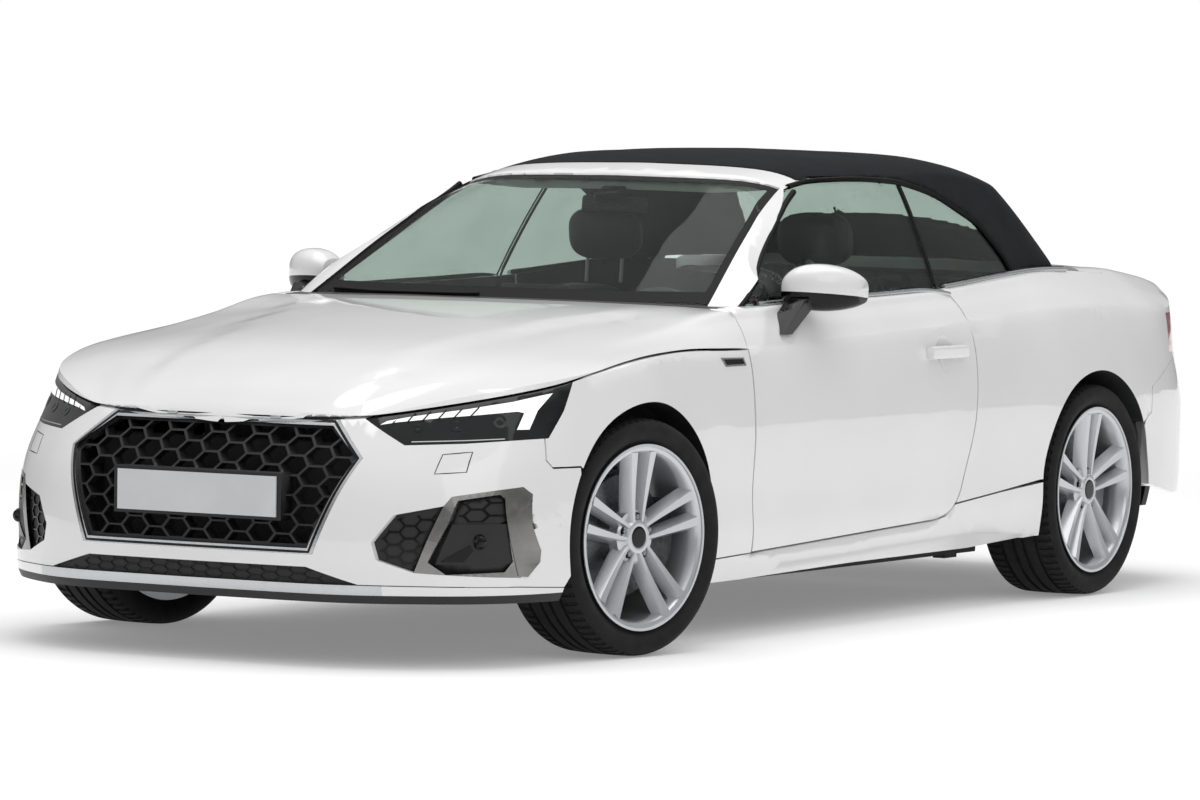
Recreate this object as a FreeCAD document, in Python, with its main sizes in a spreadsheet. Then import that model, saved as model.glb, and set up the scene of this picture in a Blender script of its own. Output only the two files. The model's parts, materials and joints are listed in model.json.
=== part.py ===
import FreeCAD, Part
import Sketcher
import math
import os

# Two-door, four-seat convertible car with its soft top up.
# Frame: millimetres, +Z up, +X to the car's left, the nose at -Y.
# The origin is on the ground, at the middle of the car's box.

V = FreeCAD.Vector
X_AXIS = V(1, 0, 0)
Y_AXIS = V(0, 1, 0)
Z_AXIS = V(0, 0, 1)
FAR = 3000.0

document = FreeCAD.newDocument("convertible_car")

# Driving dimensions

SIZES = [
    ("car_length", 4697, "bumper to bumper"),
    ("body_half_width", 921, "widest point of the sides, over the wheels"),
    ("car_height", 1384, "ground to the top of the soft top"),
    ("wheelbase", 2765, "front axle to rear axle"),
    ("front_overhang", 892, "nose to front axle"),
    ("front_track", 1587, "between the front wheels' middles"),
    ("rear_track", 1568, "between the rear wheels' middles"),
    ("tyre_radius", 330.5, "255/35 tyre on a 19 inch rim"),
    ("tyre_width", 255, "across the tyre"),
    ("tyre_wall", 17, "rounding from tread to side wall"),
    ("rim_radius", 258.5, "outer edge of the rim's flange"),
    ("rim_seat", 238, "tyre seat of the rim"),
    ("rim_barrel", 222, "inside of the rim's barrel"),
    ("rim_face", 118, "wheel's middle to the rim's outer face"),
    ("rim_back", 112, "wheel's middle to the rim's inner face"),
    ("hub_radius", 78, "wheel hub with its bolt circle"),
    ("hub_face", 92, "wheel's middle to the hub's outer face"),
    ("spoke_width", 34, "width of one spoke"),
    ("spoke_gap", 11, "half the gap between the two spokes of a pair"),
    ("spoke_depth", 34, "thickness of a spoke"),
    ("window_inner", 100, "wheel's middle to the start of the openings between spokes"),
    ("disc_radius", 169, "brake disc"),
    ("disc_thickness", 30, "brake disc"),
    ("disc_gap", 5.5, "brake disc to its caliper"),
    ("steer_rest", 9.4, "degrees that the parked front wheels point right"),
    ("kingpin_offset", 20, "wheel's middle to the steering axis"),
    ("arch_radius", 374, "wheel opening in the body"),
    ("liner_gap", 6, "wheel opening to the liner behind it"),
    ("liner_thickness", 4, "wheel arch liner"),
    ("panel_gap", 5, "shut lines between panels"),
    ("moving_gap", 7, "shut lines of the doors and lids"),
    ("seat_clearance", 0.3, "between a piece and the seat that carries it"),
    ("panel_thickness", 34, "skin with its inner frame"),
    ("lamp_depth", 90, "lens to the back of a lamp"),
    ("door_inner", 738, "middle of the car to the door's inner face"),
    ("door_front", -856, "front shut line of the doors"),
    ("door_rear", 508, "rear shut line of the doors"),
    ("sill_front", 246, "top of the side skirt behind the front wheel"),
    ("sill_rear", 378, "top of the side skirt ahead of the rear wheel"),
    ("sill_bottom", 178, "lower edge of the side skirts"),
    ("skirt_clearance", 182, "lowest edge of the painted body"),
    ("ground_clearance", 150, "lowest point of the underbody"),
    ("floor_thickness", 26, "cabin floor"),
    ("well_rise", 118, "boot floor above the lowest point of the underbody"),
    ("bulkhead_offset", 300, "rear bulkhead to the rear axle"),
    ("cowl", -852, "rear edge of the bonnet"),
    ("boot_front", 1655, "front edge of the boot lid"),
    ("glass_thickness", 5, "all windows"),
    ("frame_depth", 48, "windscreen frame"),
    ("soft_top_thickness", 30, "cloth, padding and liner"),
    ("header_rear", 30, "rear edge of the windscreen header at the middle"),
    ("seal_gap", 6, "glass to the cloth or frame round it"),
    ("seat_spacing", 372, "middle of the car to a front seat's middle"),
    ("seat_width", 480, "front seat"),
    ("seat_height", 235, "ground to the base of a front seat's cushion"),
    ("seat_rails", 190, "middle of a front seat to its rails"),
    ("bench_width", 1020, "rear bench"),
    ("engine_width", 520, "engine across the car"),
    ("engine_length", 740, "engine along the car"),
    ("engine_height", 440, "engine with its sump"),
    ("steering_radius", 186, "steering wheel"),
    ("steering_rim", 15, "radius of the steering wheel's rim"),
    ("steering_tilt", 24, "degrees that the column rises"),
    ("steering_height", 800, "ground to the middle of the steering wheel"),
    ("steering_reach", -420, "steering wheel's middle along the car"),
    ("jack_length", 80, "jacking point under the sill"),
    ("jack_width", 40, "jacking point under the sill"),
    ("jack_inset", 560, "jacking point to the axle"),
    ("exhaust_radius", 32, "tail pipe"),
]

sizes = document.addObject("Spreadsheet::Sheet", "Sizes")
for row, (alias, value, note) in enumerate(SIZES, start=1):
    sizes.set("A%d" % row, str(value))
    sizes.setAlias("A%d" % row, alias)
    sizes.set("B%d" % row, note)
document.recompute()


def size(alias):
    """Value of a driving dimension."""
    return float(getattr(sizes, alias))


NOSE = -size("car_length") / 2
TAIL = size("car_length") / 2
FRONT_AXLE = NOSE + size("front_overhang")
REAR_AXLE = FRONT_AXLE + size("wheelbase")
HALF = size("body_half_width")
GAP = size("panel_gap") / 2
SHUT = size("moving_gap") / 2
SKIN = size("panel_thickness")
DOOR_IN = size("door_inner")
HUB_HEIGHT = size("tyre_radius")
SEAT = size("seat_clearance")
ARCH = size("arch_radius")

# Expressions that several sub-parts share
FRONT = "(Sizes.front_overhang - Sizes.car_length / 2)"
REAR = "(Sizes.front_overhang - Sizes.car_length / 2 + Sizes.wheelbase)"
FLOOR_TOP = "(Sizes.ground_clearance + Sizes.floor_thickness)"


# Helpers for curves and outlines


def curve(points):
    """Function that passes smoothly through a few (station, value) pairs, with no overshoot."""
    stations = [float(point[0]) for point in points]
    values = [float(point[1]) for point in points]
    last = len(points) - 1
    rises = [(values[i + 1] - values[i]) / (stations[i + 1] - stations[i]) for i in range(last)]
    slopes = [rises[0]]
    for i in range(1, last):
        before, after = rises[i - 1], rises[i]
        slopes.append(2 * before * after / (before + after) if before * after > 0 else 0.0)
    slopes.append(rises[-1])

    def at(station):
        if station <= stations[0]:
            return values[0]
        if station >= stations[-1]:
            return values[-1]
        i = 0
        while station > stations[i + 1]:
            i += 1
        span = stations[i + 1] - stations[i]
        share = (station - stations[i]) / span
        start = values[i] * (1 + 2 * share) * (1 - share) ** 2
        end = values[i + 1] * share ** 2 * (3 - 2 * share)
        bend = span * (slopes[i] * share * (1 - share) ** 2 + slopes[i + 1] * share ** 2 * (share - 1))
        return start + end + bend

    return at


def steps(start, end, count):
    """Evenly spaced stations, both ends included."""
    return [start + (end - start) * number / (count - 1) for number in range(count)]


def rounded_max(first, second, radius):
    """Larger of two distances, rounded where they cross."""
    overlap = max(radius - abs(first - second), 0.0) / radius
    return max(first, second) + overlap * overlap * radius / 4


PLACE = {"yz": lambda a, b, c: V(c, a, b), "xz": lambda a, b, c: V(a, c, b), "xy": lambda a, b, c: V(a, b, c)}
ALONG = {"yz": X_AXIS, "xz": Y_AXIS, "xy": Z_AXIS}


def polygon_prism(points, plane, start, end):
    """Straight-sided prism: an outline in a plane, swept along the third axis."""
    corners = [PLACE[plane](point[0], point[1], start) for point in points]
    face = Part.Face(Part.makePolygon(corners + [corners[0]]))
    return face.extrude(ALONG[plane] * (end - start))


def smooth_prism(runs, plane, start, end):
    """Prism whose outline is a chain of smooth runs that meet at corners."""
    edges = []
    for number, run in enumerate(runs):
        following = runs[(number + 1) % len(runs)]
        corners = [PLACE[plane](point[0], point[1], start) for point in run + [following[0]]]
        if len(corners) == 2:
            edges.append(Part.LineSegment(corners[0], corners[1]).toShape())
        else:
            spline = Part.BSplineCurve()
            spline.interpolate(corners)
            edges.append(spline.toShape())
    face = Part.Face(Part.Wire(edges))
    return face.extrude(ALONG[plane] * (end - start))


def box(x, y, z):
    """Box from three (low, high) pairs."""
    return Part.makeBox(x[1] - x[0], y[1] - y[0], z[1] - z[0], V(x[0], y[0], z[0]))


def mirrored(shape):
    """Same shape on the other side of the car."""
    return shape.mirror(V(0, 0, 0), X_AXIS)


def both_sides(shape):
    """Shape and its mirror image, as solids that don't touch."""
    return Part.makeCompound([shape, mirrored(shape)])


def tube_x(radius, y, z, start, end):
    """Cylinder along X."""
    return Part.makeCylinder(radius, end - start, V(start, y, z), X_AXIS)


def rod(start, end, radius):
    """Round bar between two points."""
    return Part.makeCylinder(radius, (end - start).Length, start, end - start)


def largest(shape):
    """Largest solid of a shape."""
    return max(shape.Solids, key=lambda solid: solid.Volume)


def pieces(shape):
    """Compound of the solids in a shape, each over a tenth of a litre."""
    return Part.makeCompound([solid for solid in shape.Solids if solid.Volume > 100000])


sub_parts = []


def feature(label, shape):
    """Sub-part whose shape is made by surface and boolean functions."""
    made = document.addObject("Part::Feature", label)
    made.Label = label
    made.Shape = shape
    made.Placement = FreeCAD.Placement()
    sub_parts.append(made)
    return made


# Helpers for bound features


def bound(kind, name, **expressions):
    """Object whose properties are bound to the sheet; two underscores stand for a dot."""
    made = document.addObject(kind, name)
    for key, text in expressions.items():
        made.setExpression(key.replace("__", "."), text)
    return made


def datum(body, role):
    """One of a body's own origin planes or axes."""
    return [item for item in body.Origin.OriginFeatures if item.Role == role][0]


def outline(body, name, plane, corners, lift="0", turn=0.0):
    """Closed straight-sided sketch whose corners are bound to the sheet."""
    sketch = body.newObject("Sketcher::SketchObject", name)
    sketch.AttachmentSupport = (datum(body, plane), [""])
    sketch.MapMode = "FlatFace"
    sketch.AttachmentOffset = FreeCAD.Placement(V(0, 0, 0), FreeCAD.Rotation(Z_AXIS, turn))
    sketch.setExpression("AttachmentOffset.Base.z", lift)
    values = [(float(sketch.evalExpression(x)), float(sketch.evalExpression(y))) for x, y in corners]
    count = len(corners)
    for number in range(count):
        first, second = values[number], values[(number + 1) % count]
        sketch.addGeometry(Part.LineSegment(V(first[0], first[1], 0), V(second[0], second[1], 0)), False)
    for number in range(count):
        sketch.addConstraint(Sketcher.Constraint("Coincident", number, 2, (number + 1) % count, 1))
    for number, pair in enumerate(corners):
        for kind, text, value in zip(("DistanceX", "DistanceY"), pair, values[number]):
            index = sketch.addConstraint(Sketcher.Constraint(kind, number, 1, value))
            sketch.setExpression("Constraints[%d]" % index, text)
    return sketch


def rectangle(low, high):
    """Corners of a rectangle from (low, low) and (high, high) expressions."""
    return [(low[0], low[1]), (high[0], low[1]), (high[0], high[1]), (low[0], high[1])]


def turned(body, name, profile):
    """Full turn of a profile about the car's X axis."""
    made = body.newObject("PartDesign::Revolution", name)
    made.Profile = (profile, [""])
    made.ReferenceAxis = (profile, ["H_Axis"])
    made.Angle = 360
    document.recompute()
    return made


def padded(body, name, profile, length):
    """Pad of a profile along its plane's normal."""
    made = body.newObject("PartDesign::Pad", name)
    made.Profile = (profile, [""])
    made.setExpression("Length", length)
    document.recompute()
    return made


def cut_through(body, name, profile, count):
    """Openings cut through a body, repeated about the X axis."""
    before = body.Shape.Volume
    made = body.newObject("PartDesign::Pocket", name)
    made.Profile = (profile, [""])
    made.Type = 1
    document.recompute()
    if made.Shape.Volume > before - 1:
        raise RuntimeError("%s cuts nothing" % name)
    pattern = body.newObject("PartDesign::PolarPattern", name + "_round")
    pattern.Originals = [made]
    pattern.Axis = (datum(body, "X_Axis"), [""])
    pattern.Angle = 360
    pattern.Occurrences = count
    body.Tip = pattern
    document.recompute()
    return pattern


def placed(label, source, x, y, z, rotation):
    """Sub-part that stands a master piece at its place in the car."""
    made = document.addObject("Part::Compound", label)
    made.Label = label
    made.Links = [source]
    made.Placement = FreeCAD.Placement(V(0, 0, 0), rotation)
    for key, text in (("x", x), ("y", y), ("z", z)):
        made.setExpression("Placement.Base." + key, text)
    sub_parts.append(made)
    return made


def joined(label, members):
    """Sub-part fused from primitives and bodies."""
    made = document.addObject("Part::MultiFuse", label)
    made.Label = label
    made.Shapes = members
    made.Refine = True
    sub_parts.append(made)
    return made


def block(name, x, y, z):
    """Box bound to the sheet, from three (start, length) pairs of expressions."""
    return bound("Part::Box", name, Length=x[1], Width=y[1], Height=z[1],
                 Placement__Base__x=x[0], Placement__Base__y=y[0], Placement__Base__z=z[0])


def bar(name, start, end, radius):
    """Round bar between two points, as a primitive."""
    made = document.addObject("Part::Cylinder", name)
    made.Radius = radius
    made.Height = (end - start).Length
    made.Placement = FreeCAD.Placement(start, FreeCAD.Rotation(Z_AXIS, end - start))
    return made


# Form of the body: plan curves, stacked by height, under a top surface

lowest = size("skirt_clearance") - 6

widest = curve([
    (NOSE, 850), (FRONT_AXLE - 420, HALF - 22), (FRONT_AXLE, HALF), (FRONT_AXLE + 500, HALF - 16),
    (-150, HALF - 21), (REAR_AXLE - 620, HALF - 14), (REAR_AXLE, HALF), (REAR_AXLE + 420, HALF - 14),
    (TAIL, 860),
])
lean = curve([
    (160, 50), (190, 34), (250, 15), (330, 3), (420, 6), (560, 0), (700, 7), (800, 20), (880, 40), (1000, 80),
])
front_line = curve([
    (160, NOSE + 34), (205, NOSE + 4), (300, NOSE), (400, NOSE + 5), (500, NOSE + 30), (600, NOSE + 92),
    (680, NOSE + 152), (800, NOSE + 220), (1000, NOSE + 300),
])
front_sweep = curve([
    (0, 0), (250, 5), (373, 14), (483, 38), (562, 78), (700, 172), (780, 262), (832, 356), (880, 500), (960, 900),
])
rear_line = curve([
    (160, TAIL - 90), (230, TAIL - 48), (300, TAIL - 14), (430, TAIL - 2), (560, TAIL), (640, TAIL - 18),
    (700, TAIL - 52), (800, TAIL - 70), (920, TAIL - 98), (1000, TAIL - 110),
])
rear_sweep = curve([
    (0, 0), (250, 8), (400, 24), (600, 76), (700, 128), (800, 232), (850, 340), (900, 560), (960, 900),
])
CORNER = 70


def side_of(y, z):
    """Half width of the body at a height, away from its ends."""
    return widest(y) - lean(z)


def beyond_sides(x, y, z, inset):
    """How far a point lies outside the body's plan curve at its height, less than 0 inside."""
    side = abs(x) - (side_of(y, z) - inset)
    front = (front_line(z) + front_sweep(abs(x)) + inset) - y
    rear = y - (rear_line(z) - rear_sweep(abs(x)) - inset)
    return rounded_max(side, rounded_max(front, rear, CORNER), CORNER)


def reach(start, direction, outside):
    """Point where a ray from inside a form leaves it."""
    near, away = 0.0, FAR
    for _ in range(24):
        middle = (near + away) / 2
        point = start + direction * middle
        if outside(point.x, point.y, point.z) > 0:
            away = middle
        else:
            near = middle
    return start + direction * near


def plan_loop(z, outside, first, last, fan, straight):
    """Closed plan curve at one height, found along rays from the car's middle line."""
    points = []
    for angle in steps(0, math.pi, fan + 1):
        points.append(reach(V(0, first, z), V(math.cos(angle), -math.sin(angle), 0), outside))
    for y in steps(first, last, straight + 1)[1:-1]:
        points.append(reach(V(0, y, z), V(-1, 0, 0), outside))
    for angle in steps(0, math.pi, fan + 1):
        points.append(reach(V(0, last, z), V(-math.cos(angle), math.sin(angle), 0), outside))
    for y in steps(last, first, straight + 1)[1:-1]:
        points.append(reach(V(0, y, z), V(1, 0, 0), outside))
    return points


def stacked_solid(heights, outside, first, last, fan, straight):
    """Solid whose walls pass through the plan curves at several heights."""
    loops = []
    for z in heights:
        points = plan_loop(z, outside, first, last, fan, straight)
        loop = Part.BSplineCurve()
        loop.interpolate(Points=points, PeriodicFlag=True, Parameters=list(range(len(points) + 1)))
        loops.append(loop)
    columns = []
    for number in range(1, loops[0].NbPoles + 1):
        column = Part.BSplineCurve()
        column.interpolate(Points=[loop.getPole(number) for loop in loops], Parameters=list(heights))
        columns.append(column)
    wall = Part.BSplineSurface()
    wall.buildFromPolesMultsKnots(
        [column.getPoles() for column in columns],
        loops[0].getMultiplicities(), columns[0].getMultiplicities(),
        loops[0].getKnots(), columns[0].getKnots(),
        True, False, loops[0].Degree, columns[0].Degree)
    face = wall.toShape()
    level = [edge for edge in face.Edges if edge.BoundBox.ZLength < 1e-3]
    caps = [Part.Face(Part.Wire([edge])) for edge in level]
    walls = Part.makeCompound([face] + caps)
    walls.sewShape()
    return Part.Solid(walls.Shells[0])


def draped_solid(grid, depth):
    """Solid under a surface that passes through rows of points."""
    surface = Part.BSplineSurface()
    surface.interpolate(grid)
    solid = surface.toShape().extrude(V(0, 0, -depth))
    if solid.Volume < 0:
        solid.reverse()
    return solid


# Lines that run along the car

crease_height = curve([
    (NOSE, 604), (NOSE + 152, 664), (-2010, 716), (-1794, 762), (-1615, 802), (-1390, 829), (-1184, 838),
    (-859, 832), (-281, 843), (508, 872), (1048, 894), (1329, 900), (1700, 888), (1906, 872), (TAIL, 800),
])
belt_height = curve([
    (NOSE, 600), (-2190, 668), (-2010, 740), (-1770, 804), (-1400, 858), (-1100, 900), (-850, 936), (-600, 946),
    (0, 957), (500, 971), (1000, 1000), (1400, 1016), (1700, 1010), (1900, 992), (2174, 952), (TAIL, 900),
])
belt_side = curve([
    (NOSE, 420), (-2190, 450), (-2010, 560), (-1770, 680), (-1400, 740), (-1100, 765), (-850, 785), (-600, 792),
    (0, 790), (500, 782), (1000, 762), (1400, 722), (1800, 700), (2100, 680), (TAIL, 610),
])
middle_height = curve([
    (NOSE, 560), (NOSE + 70, 624), (-2193, 678), (-2120, 728), (-2010, 775), (-1770, 840), (-1400, 893),
    (-1100, 926), (-812, 953), (-500, 962), (0, 966), (1000, 1004), (1400, 1032), (1655, 1028), (1900, 1010),
    (2100, 990), (2240, 972), (TAIL, 948),
])
crown_fall = curve([(0.0, 0.0), (0.3, 0.06), (0.58, 0.26), (0.82, 0.6), (1.0, 1.0)])
dome_side = curve([(-2200, 372), (-1600, 440), (-1100, 560), (-840, 640)])
STATIONS = (steps(NOSE - 60, -2120, 6) + steps(-2060, -1400, 7) + steps(-1280, 1520, 16)
            + steps(1640, 2120, 5) + steps(2190, TAIL + 60, 4))
DECK = steps(0.0, 1.0, 13)


def dome(x, y):
    """Raised middle of the bonnet, with a soft edge along its crease lines."""
    edge = (dome_side(y) - abs(x)) / 60
    rise = min(max(edge, 0.0), 1.0)
    fade = min(max((cowl - 30 - y) / 200, 0.0), 1.0) * min(max((y + 2230) / 200, 0.0), 1.0)
    return 7.0 * rise * rise * (3 - 2 * rise) * fade


def top_row(y, drop):
    """Points of the body's top across the car: crown, shoulder and past the crease."""
    edge, edge_height, middle = belt_side(y), belt_height(y), middle_height(y)
    crease, crease_at = crease_height(y), side_of(y, crease_height(y))
    half = [(edge * share, middle - (middle - edge_height) * crown_fall(share) + dome(edge * share, y))
            for share in DECK]
    across, down = crease_at - edge, edge_height - crease
    half += [(edge + across * share, edge_height - down * fall)
             for share, fall in ((0.25, 0.2), (0.5, 0.43), (0.75, 0.7), (1.0, 1.0))]
    half += [(crease_at + 45, crease - 60), (crease_at + 120, crease - 180)]
    half = [(x, z - drop) for x, z in half]
    return [V(-x, y, z) for x, z in reversed(half[1:])] + [V(x, y, z) for x, z in half]


def body_form(inset, bottom):
    """Whole body below the windows, set in by a wall."""
    heights = [bottom, 205, 250, 310, 400, 500, 580, 660, 740, 820, 900, 1080]

    def outside(x, y, z):
        return beyond_sides(x, y, z, inset)

    walls = stacked_solid(heights, outside, FRONT_AXLE + 60, REAR_AXLE - 60, 24, 7)
    top = draped_solid([top_row(y, inset) for y in STATIONS], 1400)
    return walls.common(top)


cowl = size("cowl")
body = body_form(0, lowest)
body_inside = body_form(SKIN, lowest - 60)
body_deep = body_form(size("lamp_depth"), lowest - 60)

ahead = box((-1000, 1000), (-2500, -640), (100, 1300))
behind = box((-1000, 1000), (300, 2500), (100, 1300))
front_body = body.common(ahead)
rear_body = body.common(behind)
front_skin = front_body.cut(body_inside)
rear_skin = rear_body.cut(body_inside)
front_deep = front_body.cut(body_deep)
rear_deep = rear_body.cut(body_deep)


def lamp_outline(clear):
    """Front view of a headlamp: inner tip, lower corners and the swept outer end."""
    return [
        (439 + clear, 668 - clear * 0.4), (566 + clear * 0.4, 600 + clear), (700, 606 + clear),
        (836 - clear, 618 + clear), (842 - clear, 690), (842 - clear, 800 - clear), (700, 800 - clear),
        (560, 760 - clear),
    ]


def grille_outline(clear):
    """Front view of the six-sided grille opening."""
    half = [(376 - clear, 305 + clear), (478 - clear, 565), (370 - clear * 0.8, 662 - clear)]
    return half + [(-x, z) for x, z in reversed(half)]


def intake_outline(clear):
    """Front view of a side intake."""
    return [
        (534 + clear, 342), (583 + clear, 416 - clear * 0.6), (690, 441 - clear), (704, 466 - clear),
        (824 - clear, 490 - clear), (838 - clear, 470 - clear), (848 - clear, 284 + clear),
        (828 - clear, 246 + clear), (632, 262 + clear), (546 + clear, 296 + clear),
    ]


def crease_line(start, end, count, shift):
    """Side view of the shoulder crease, moved up or down."""
    return [(y, crease_height(y) + shift) for y in steps(start, end, count)]


def nose_line(shift):
    """Side view of the bonnet's front edge and the crease behind it."""
    return [[(-2600, 614 + shift)], [(NOSE + 100, 614 + shift)], [(NOSE + 150, 664 + shift)],
            crease_line(-2170, -780, 12, shift)]


cowl_curve = [(-735, cowl + 37), (-600, cowl + 24), (-300, cowl + 6), (0, cowl), (300, cowl + 6), (600, cowl + 24),
              (735, cowl + 37)]
bonnet_zone = smooth_prism(nose_line(SHUT) + [[(-770, 1250)], [(-2600, 1250)]], "yz", -1000, 1000)
under_bonnet = smooth_prism(nose_line(-SHUT) + [[(-770, 60)], [(-2600, 60)]], "yz", -1000, 1000)
bonnet_rear = smooth_prism(
    [[(-1000, cowl + 37 - SHUT)], [(x, y - SHUT) for x, y in cowl_curve[:-1]],
     [(735, cowl + 37 - SHUT)], [(1000, cowl + 37 - SHUT)], [(1000, -2600)], [(-1000, -2600)]], "xy", 500, 1250)

# Doors

door_front, door_rear = size("door_front"), size("door_rear")
skirt_top = curve([
    (FRONT_AXLE + 300, size("sill_front") - 3), (door_front, size("sill_front") + 6), (239, size("sill_front") + 42),
    (374, size("sill_rear") - 46), (661, size("sill_rear") - 23), (REAR_AXLE - 390, size("sill_rear")),
])


def door_outline(grow):
    """Side view of a door below its window."""
    return [
        [(door_front + 54 - grow, 1150)], [(door_front + 54 - grow, 946)],
        [(door_front - 3 - grow, crease_height(door_front)), (door_front + 1 - grow, 560),
         (door_front + 6 - grow, skirt_top(door_front) + 40)],
        [(door_front + 12 - grow, skirt_top(door_front) - grow)],
        [(239, skirt_top(239) - grow), (316, 302 - grow), (374 + grow * 0.7, 332 - grow * 0.7),
         (door_rear - 69 + grow, 431), (door_rear - 16 + grow, 581), (door_rear + 5 + grow, 716),
         (door_rear + grow, 872)],
        [(door_rear - 7 + grow, 967)], [(door_rear - 7 + grow, 1150)],
    ]


DOOR_STEP, STEP_DEPTH = 800, 5
door_skin = body.common(smooth_prism(door_outline(-SHUT), "yz", DOOR_STEP, 1000))
door_box = body.common(smooth_prism(door_outline(-SHUT - STEP_DEPTH), "yz", DOOR_IN, DOOR_STEP))
door_block = door_skin.fuse(door_box).removeSplitter()
door_hole = smooth_prism(door_outline(SHUT), "yz", DOOR_IN - 2, 1000)
handle_side = side_of(315, 790)
grip = smooth_prism([[(212, 790), (240, 803), (390, 805), (416, 793), (390, 779), (240, 777)]],
                    "yz", handle_side + 12, handle_side + 24)
posts = [box((handle_side - 15, handle_side + 14), (y - 14, y + 14), (781, 800)) for y in (244, 388)]
door = largest(door_block).fuse([grip] + posts)
feature("door_left", door)
feature("door_right", mirrored(door))

bonnet = front_skin.common(bonnet_zone).common(bonnet_rear).cut(door_hole).cut(mirrored(door_hole))
feature("bonnet", largest(bonnet))

scuttle_zone = smooth_prism(
    [[(x, y + SHUT) for x, y in cowl_curve[:-1]], [(735, cowl + 37 + SHUT)], [(735, -690)], [(-735, -690)]],
    "xy", 800, 1200)
feature("scuttle", largest(front_skin.common(scuttle_zone)))

# Front wings, bumper, lamps and grille

front_arch = tube_x(ARCH, FRONT_AXLE, HUB_HEIGHT, 430, 1000)
rear_arch = tube_x(ARCH, REAR_AXLE, HUB_HEIGHT, 560, 1000)

wing_zone = smooth_prism(
    [[(-1780, 538 + GAP)], [(-1880, 538 + GAP)], [(-1896, 560)], [(-1880, 640)], crease_line(-1794, door_front + 40, 8, -SHUT),
     [(door_front + 60, 828)], [(door_front + 60, skirt_top(door_front) + GAP)],
     [(FRONT_AXLE + 300, skirt_top(FRONT_AXLE) + GAP)], [(FRONT_AXLE + 300, 300)], [(FRONT_AXLE, 300)]],
    "yz", 600, 1000)
lamp_cut = polygon_prism(lamp_outline(-SEAT), "xz", -2400, -1700)
wing = front_deep.common(wing_zone).cut(front_arch).cut(door_hole).cut(lamp_cut)
feature("front_wings", both_sides(largest(wing)))

lamp = front_deep.common(polygon_prism(lamp_outline(0), "xz", -2400, -1700)).common(under_bonnet)
feature("headlamps", both_sides(largest(lamp)))

bumper_zone = polygon_prism(
    [(-2600, 228), (-2300, 228), (-2000, 222), (-1840, 214), (-1780, 300), (-1780, 538 - GAP), (-1880, 538 - GAP),
     (-1896 - 2 * GAP, 558), (-1880 - 2 * GAP, 640), (-1900, 800), (-2600, 800)], "yz", -1000, 1000)
grille_cut = polygon_prism(grille_outline(-SEAT), "xz", -2500, -2000)
intake_cut = polygon_prism(intake_outline(-SEAT), "xz", -2500, -1700)
LOWER_INTAKE = [(-512, 225), (512, 225), (356, 271), (-356, 271)]
lower_cut = polygon_prism(LOWER_INTAKE, "xz", -2500, -2000)
bumper = front_skin.common(bumper_zone).common(under_bonnet)
for cutter in (front_arch, mirrored(front_arch), grille_cut, intake_cut, mirrored(intake_cut), lamp_cut,
               mirrored(lamp_cut), lower_cut):
    bumper = bumper.cut(cutter)
feature("front_bumper", pieces(bumper))

BAND = 16
MESH_SET_BACK = 14
grille_block = front_skin.common(polygon_prism(grille_outline(0), "xz", -2500, -2000)).common(under_bonnet)
surround = grille_block.cut(polygon_prism(grille_outline(BAND), "xz", -2500, -2000))
grille_inside = polygon_prism(grille_outline(BAND + SEAT), "xz", -2500, -2000)
grille_plate = largest(front_skin.common(grille_inside)).translated(V(0, MESH_SET_BACK, 0))
feature("grille_surround", largest(surround))

# Honeycomb of the grille, with the holder of the front plate

CELL_WIDTH, CELL_HEIGHT, CELL_WALL = 92, 52, 5


def cell(x, z):
    """Six-sided opening of the honeycomb."""
    wide, high = CELL_WIDTH / 2 - CELL_WALL, CELL_HEIGHT / 2 - CELL_WALL / 2
    half = [(wide, 0), (wide / 2, high)]
    ring = half + [(-a, b) for a, b in reversed(half)] + [(-wide / 2, -high), (wide / 2, -high)]
    return polygon_prism([(x + a, z + b) for a, b in ring], "xz", -2500, -2000)


cells = []
for column in range(-6, 7):
    lift = CELL_HEIGHT / 2 if column % 2 else 0
    for row in range(7):
        cells.append(cell(column * CELL_WIDTH * 0.75, 330 + row * CELL_HEIGHT + lift))
openings = Part.makeCompound(cells).common(polygon_prism(grille_outline(BAND + 9), "xz", -2500, -2000))
PLATE_WIDTH, PLATE_LOW, PLATE_HIGH = 520, 400, 510
plate_face = NOSE + 14
holder = box((-PLATE_WIDTH / 2 - 14, PLATE_WIDTH / 2 + 14), (plate_face, -2280), (PLATE_LOW - 9, PLATE_HIGH + 9))
feature("radiator_grille", largest(grille_plate.cut(openings).fuse(holder)))



# Bright frame round the outer part of a side intake: its outer and inner edges

TRIM_OUTER = [(632, 262), (690, 441), (704, 466), (824, 490), (838, 470), (848, 284), (828, 246)]
TRIM_INNER = [(662, 290), (704, 394), (718, 456), (792, 471), (804, 455), (818, 290), (806, 262), (700, 257)]
intake_zone = front_skin.common(polygon_prism(intake_outline(0), "xz", -2500, -1700))
trim_hole = polygon_prism(TRIM_INNER, "xz", -2500, -1700)
trim = intake_zone.common(polygon_prism(TRIM_OUTER, "xz", -2500, -1700)).cut(trim_hole)
feature("intake_trims", both_sides(largest(trim.cut(front_arch))))
ahead_of_arch = box((-1000, 1000), (-2600, FRONT_AXLE - ARCH - 12), (100, 700))
intake = intake_zone.translated(V(0, 16, 0)).common(ahead_of_arch).cut(trim)
lower_mesh = front_skin.common(polygon_prism(
    [(-506, 225 + SEAT), (506, 225 + SEAT), (355, 271 - SEAT), (-355, 271 - SEAT)],
    "xz", -2500, -2000)).translated(V(0, 16, 0))
feature("air_intakes", Part.makeCompound([largest(intake), mirrored(largest(intake)), largest(lower_mesh)]))

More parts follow.
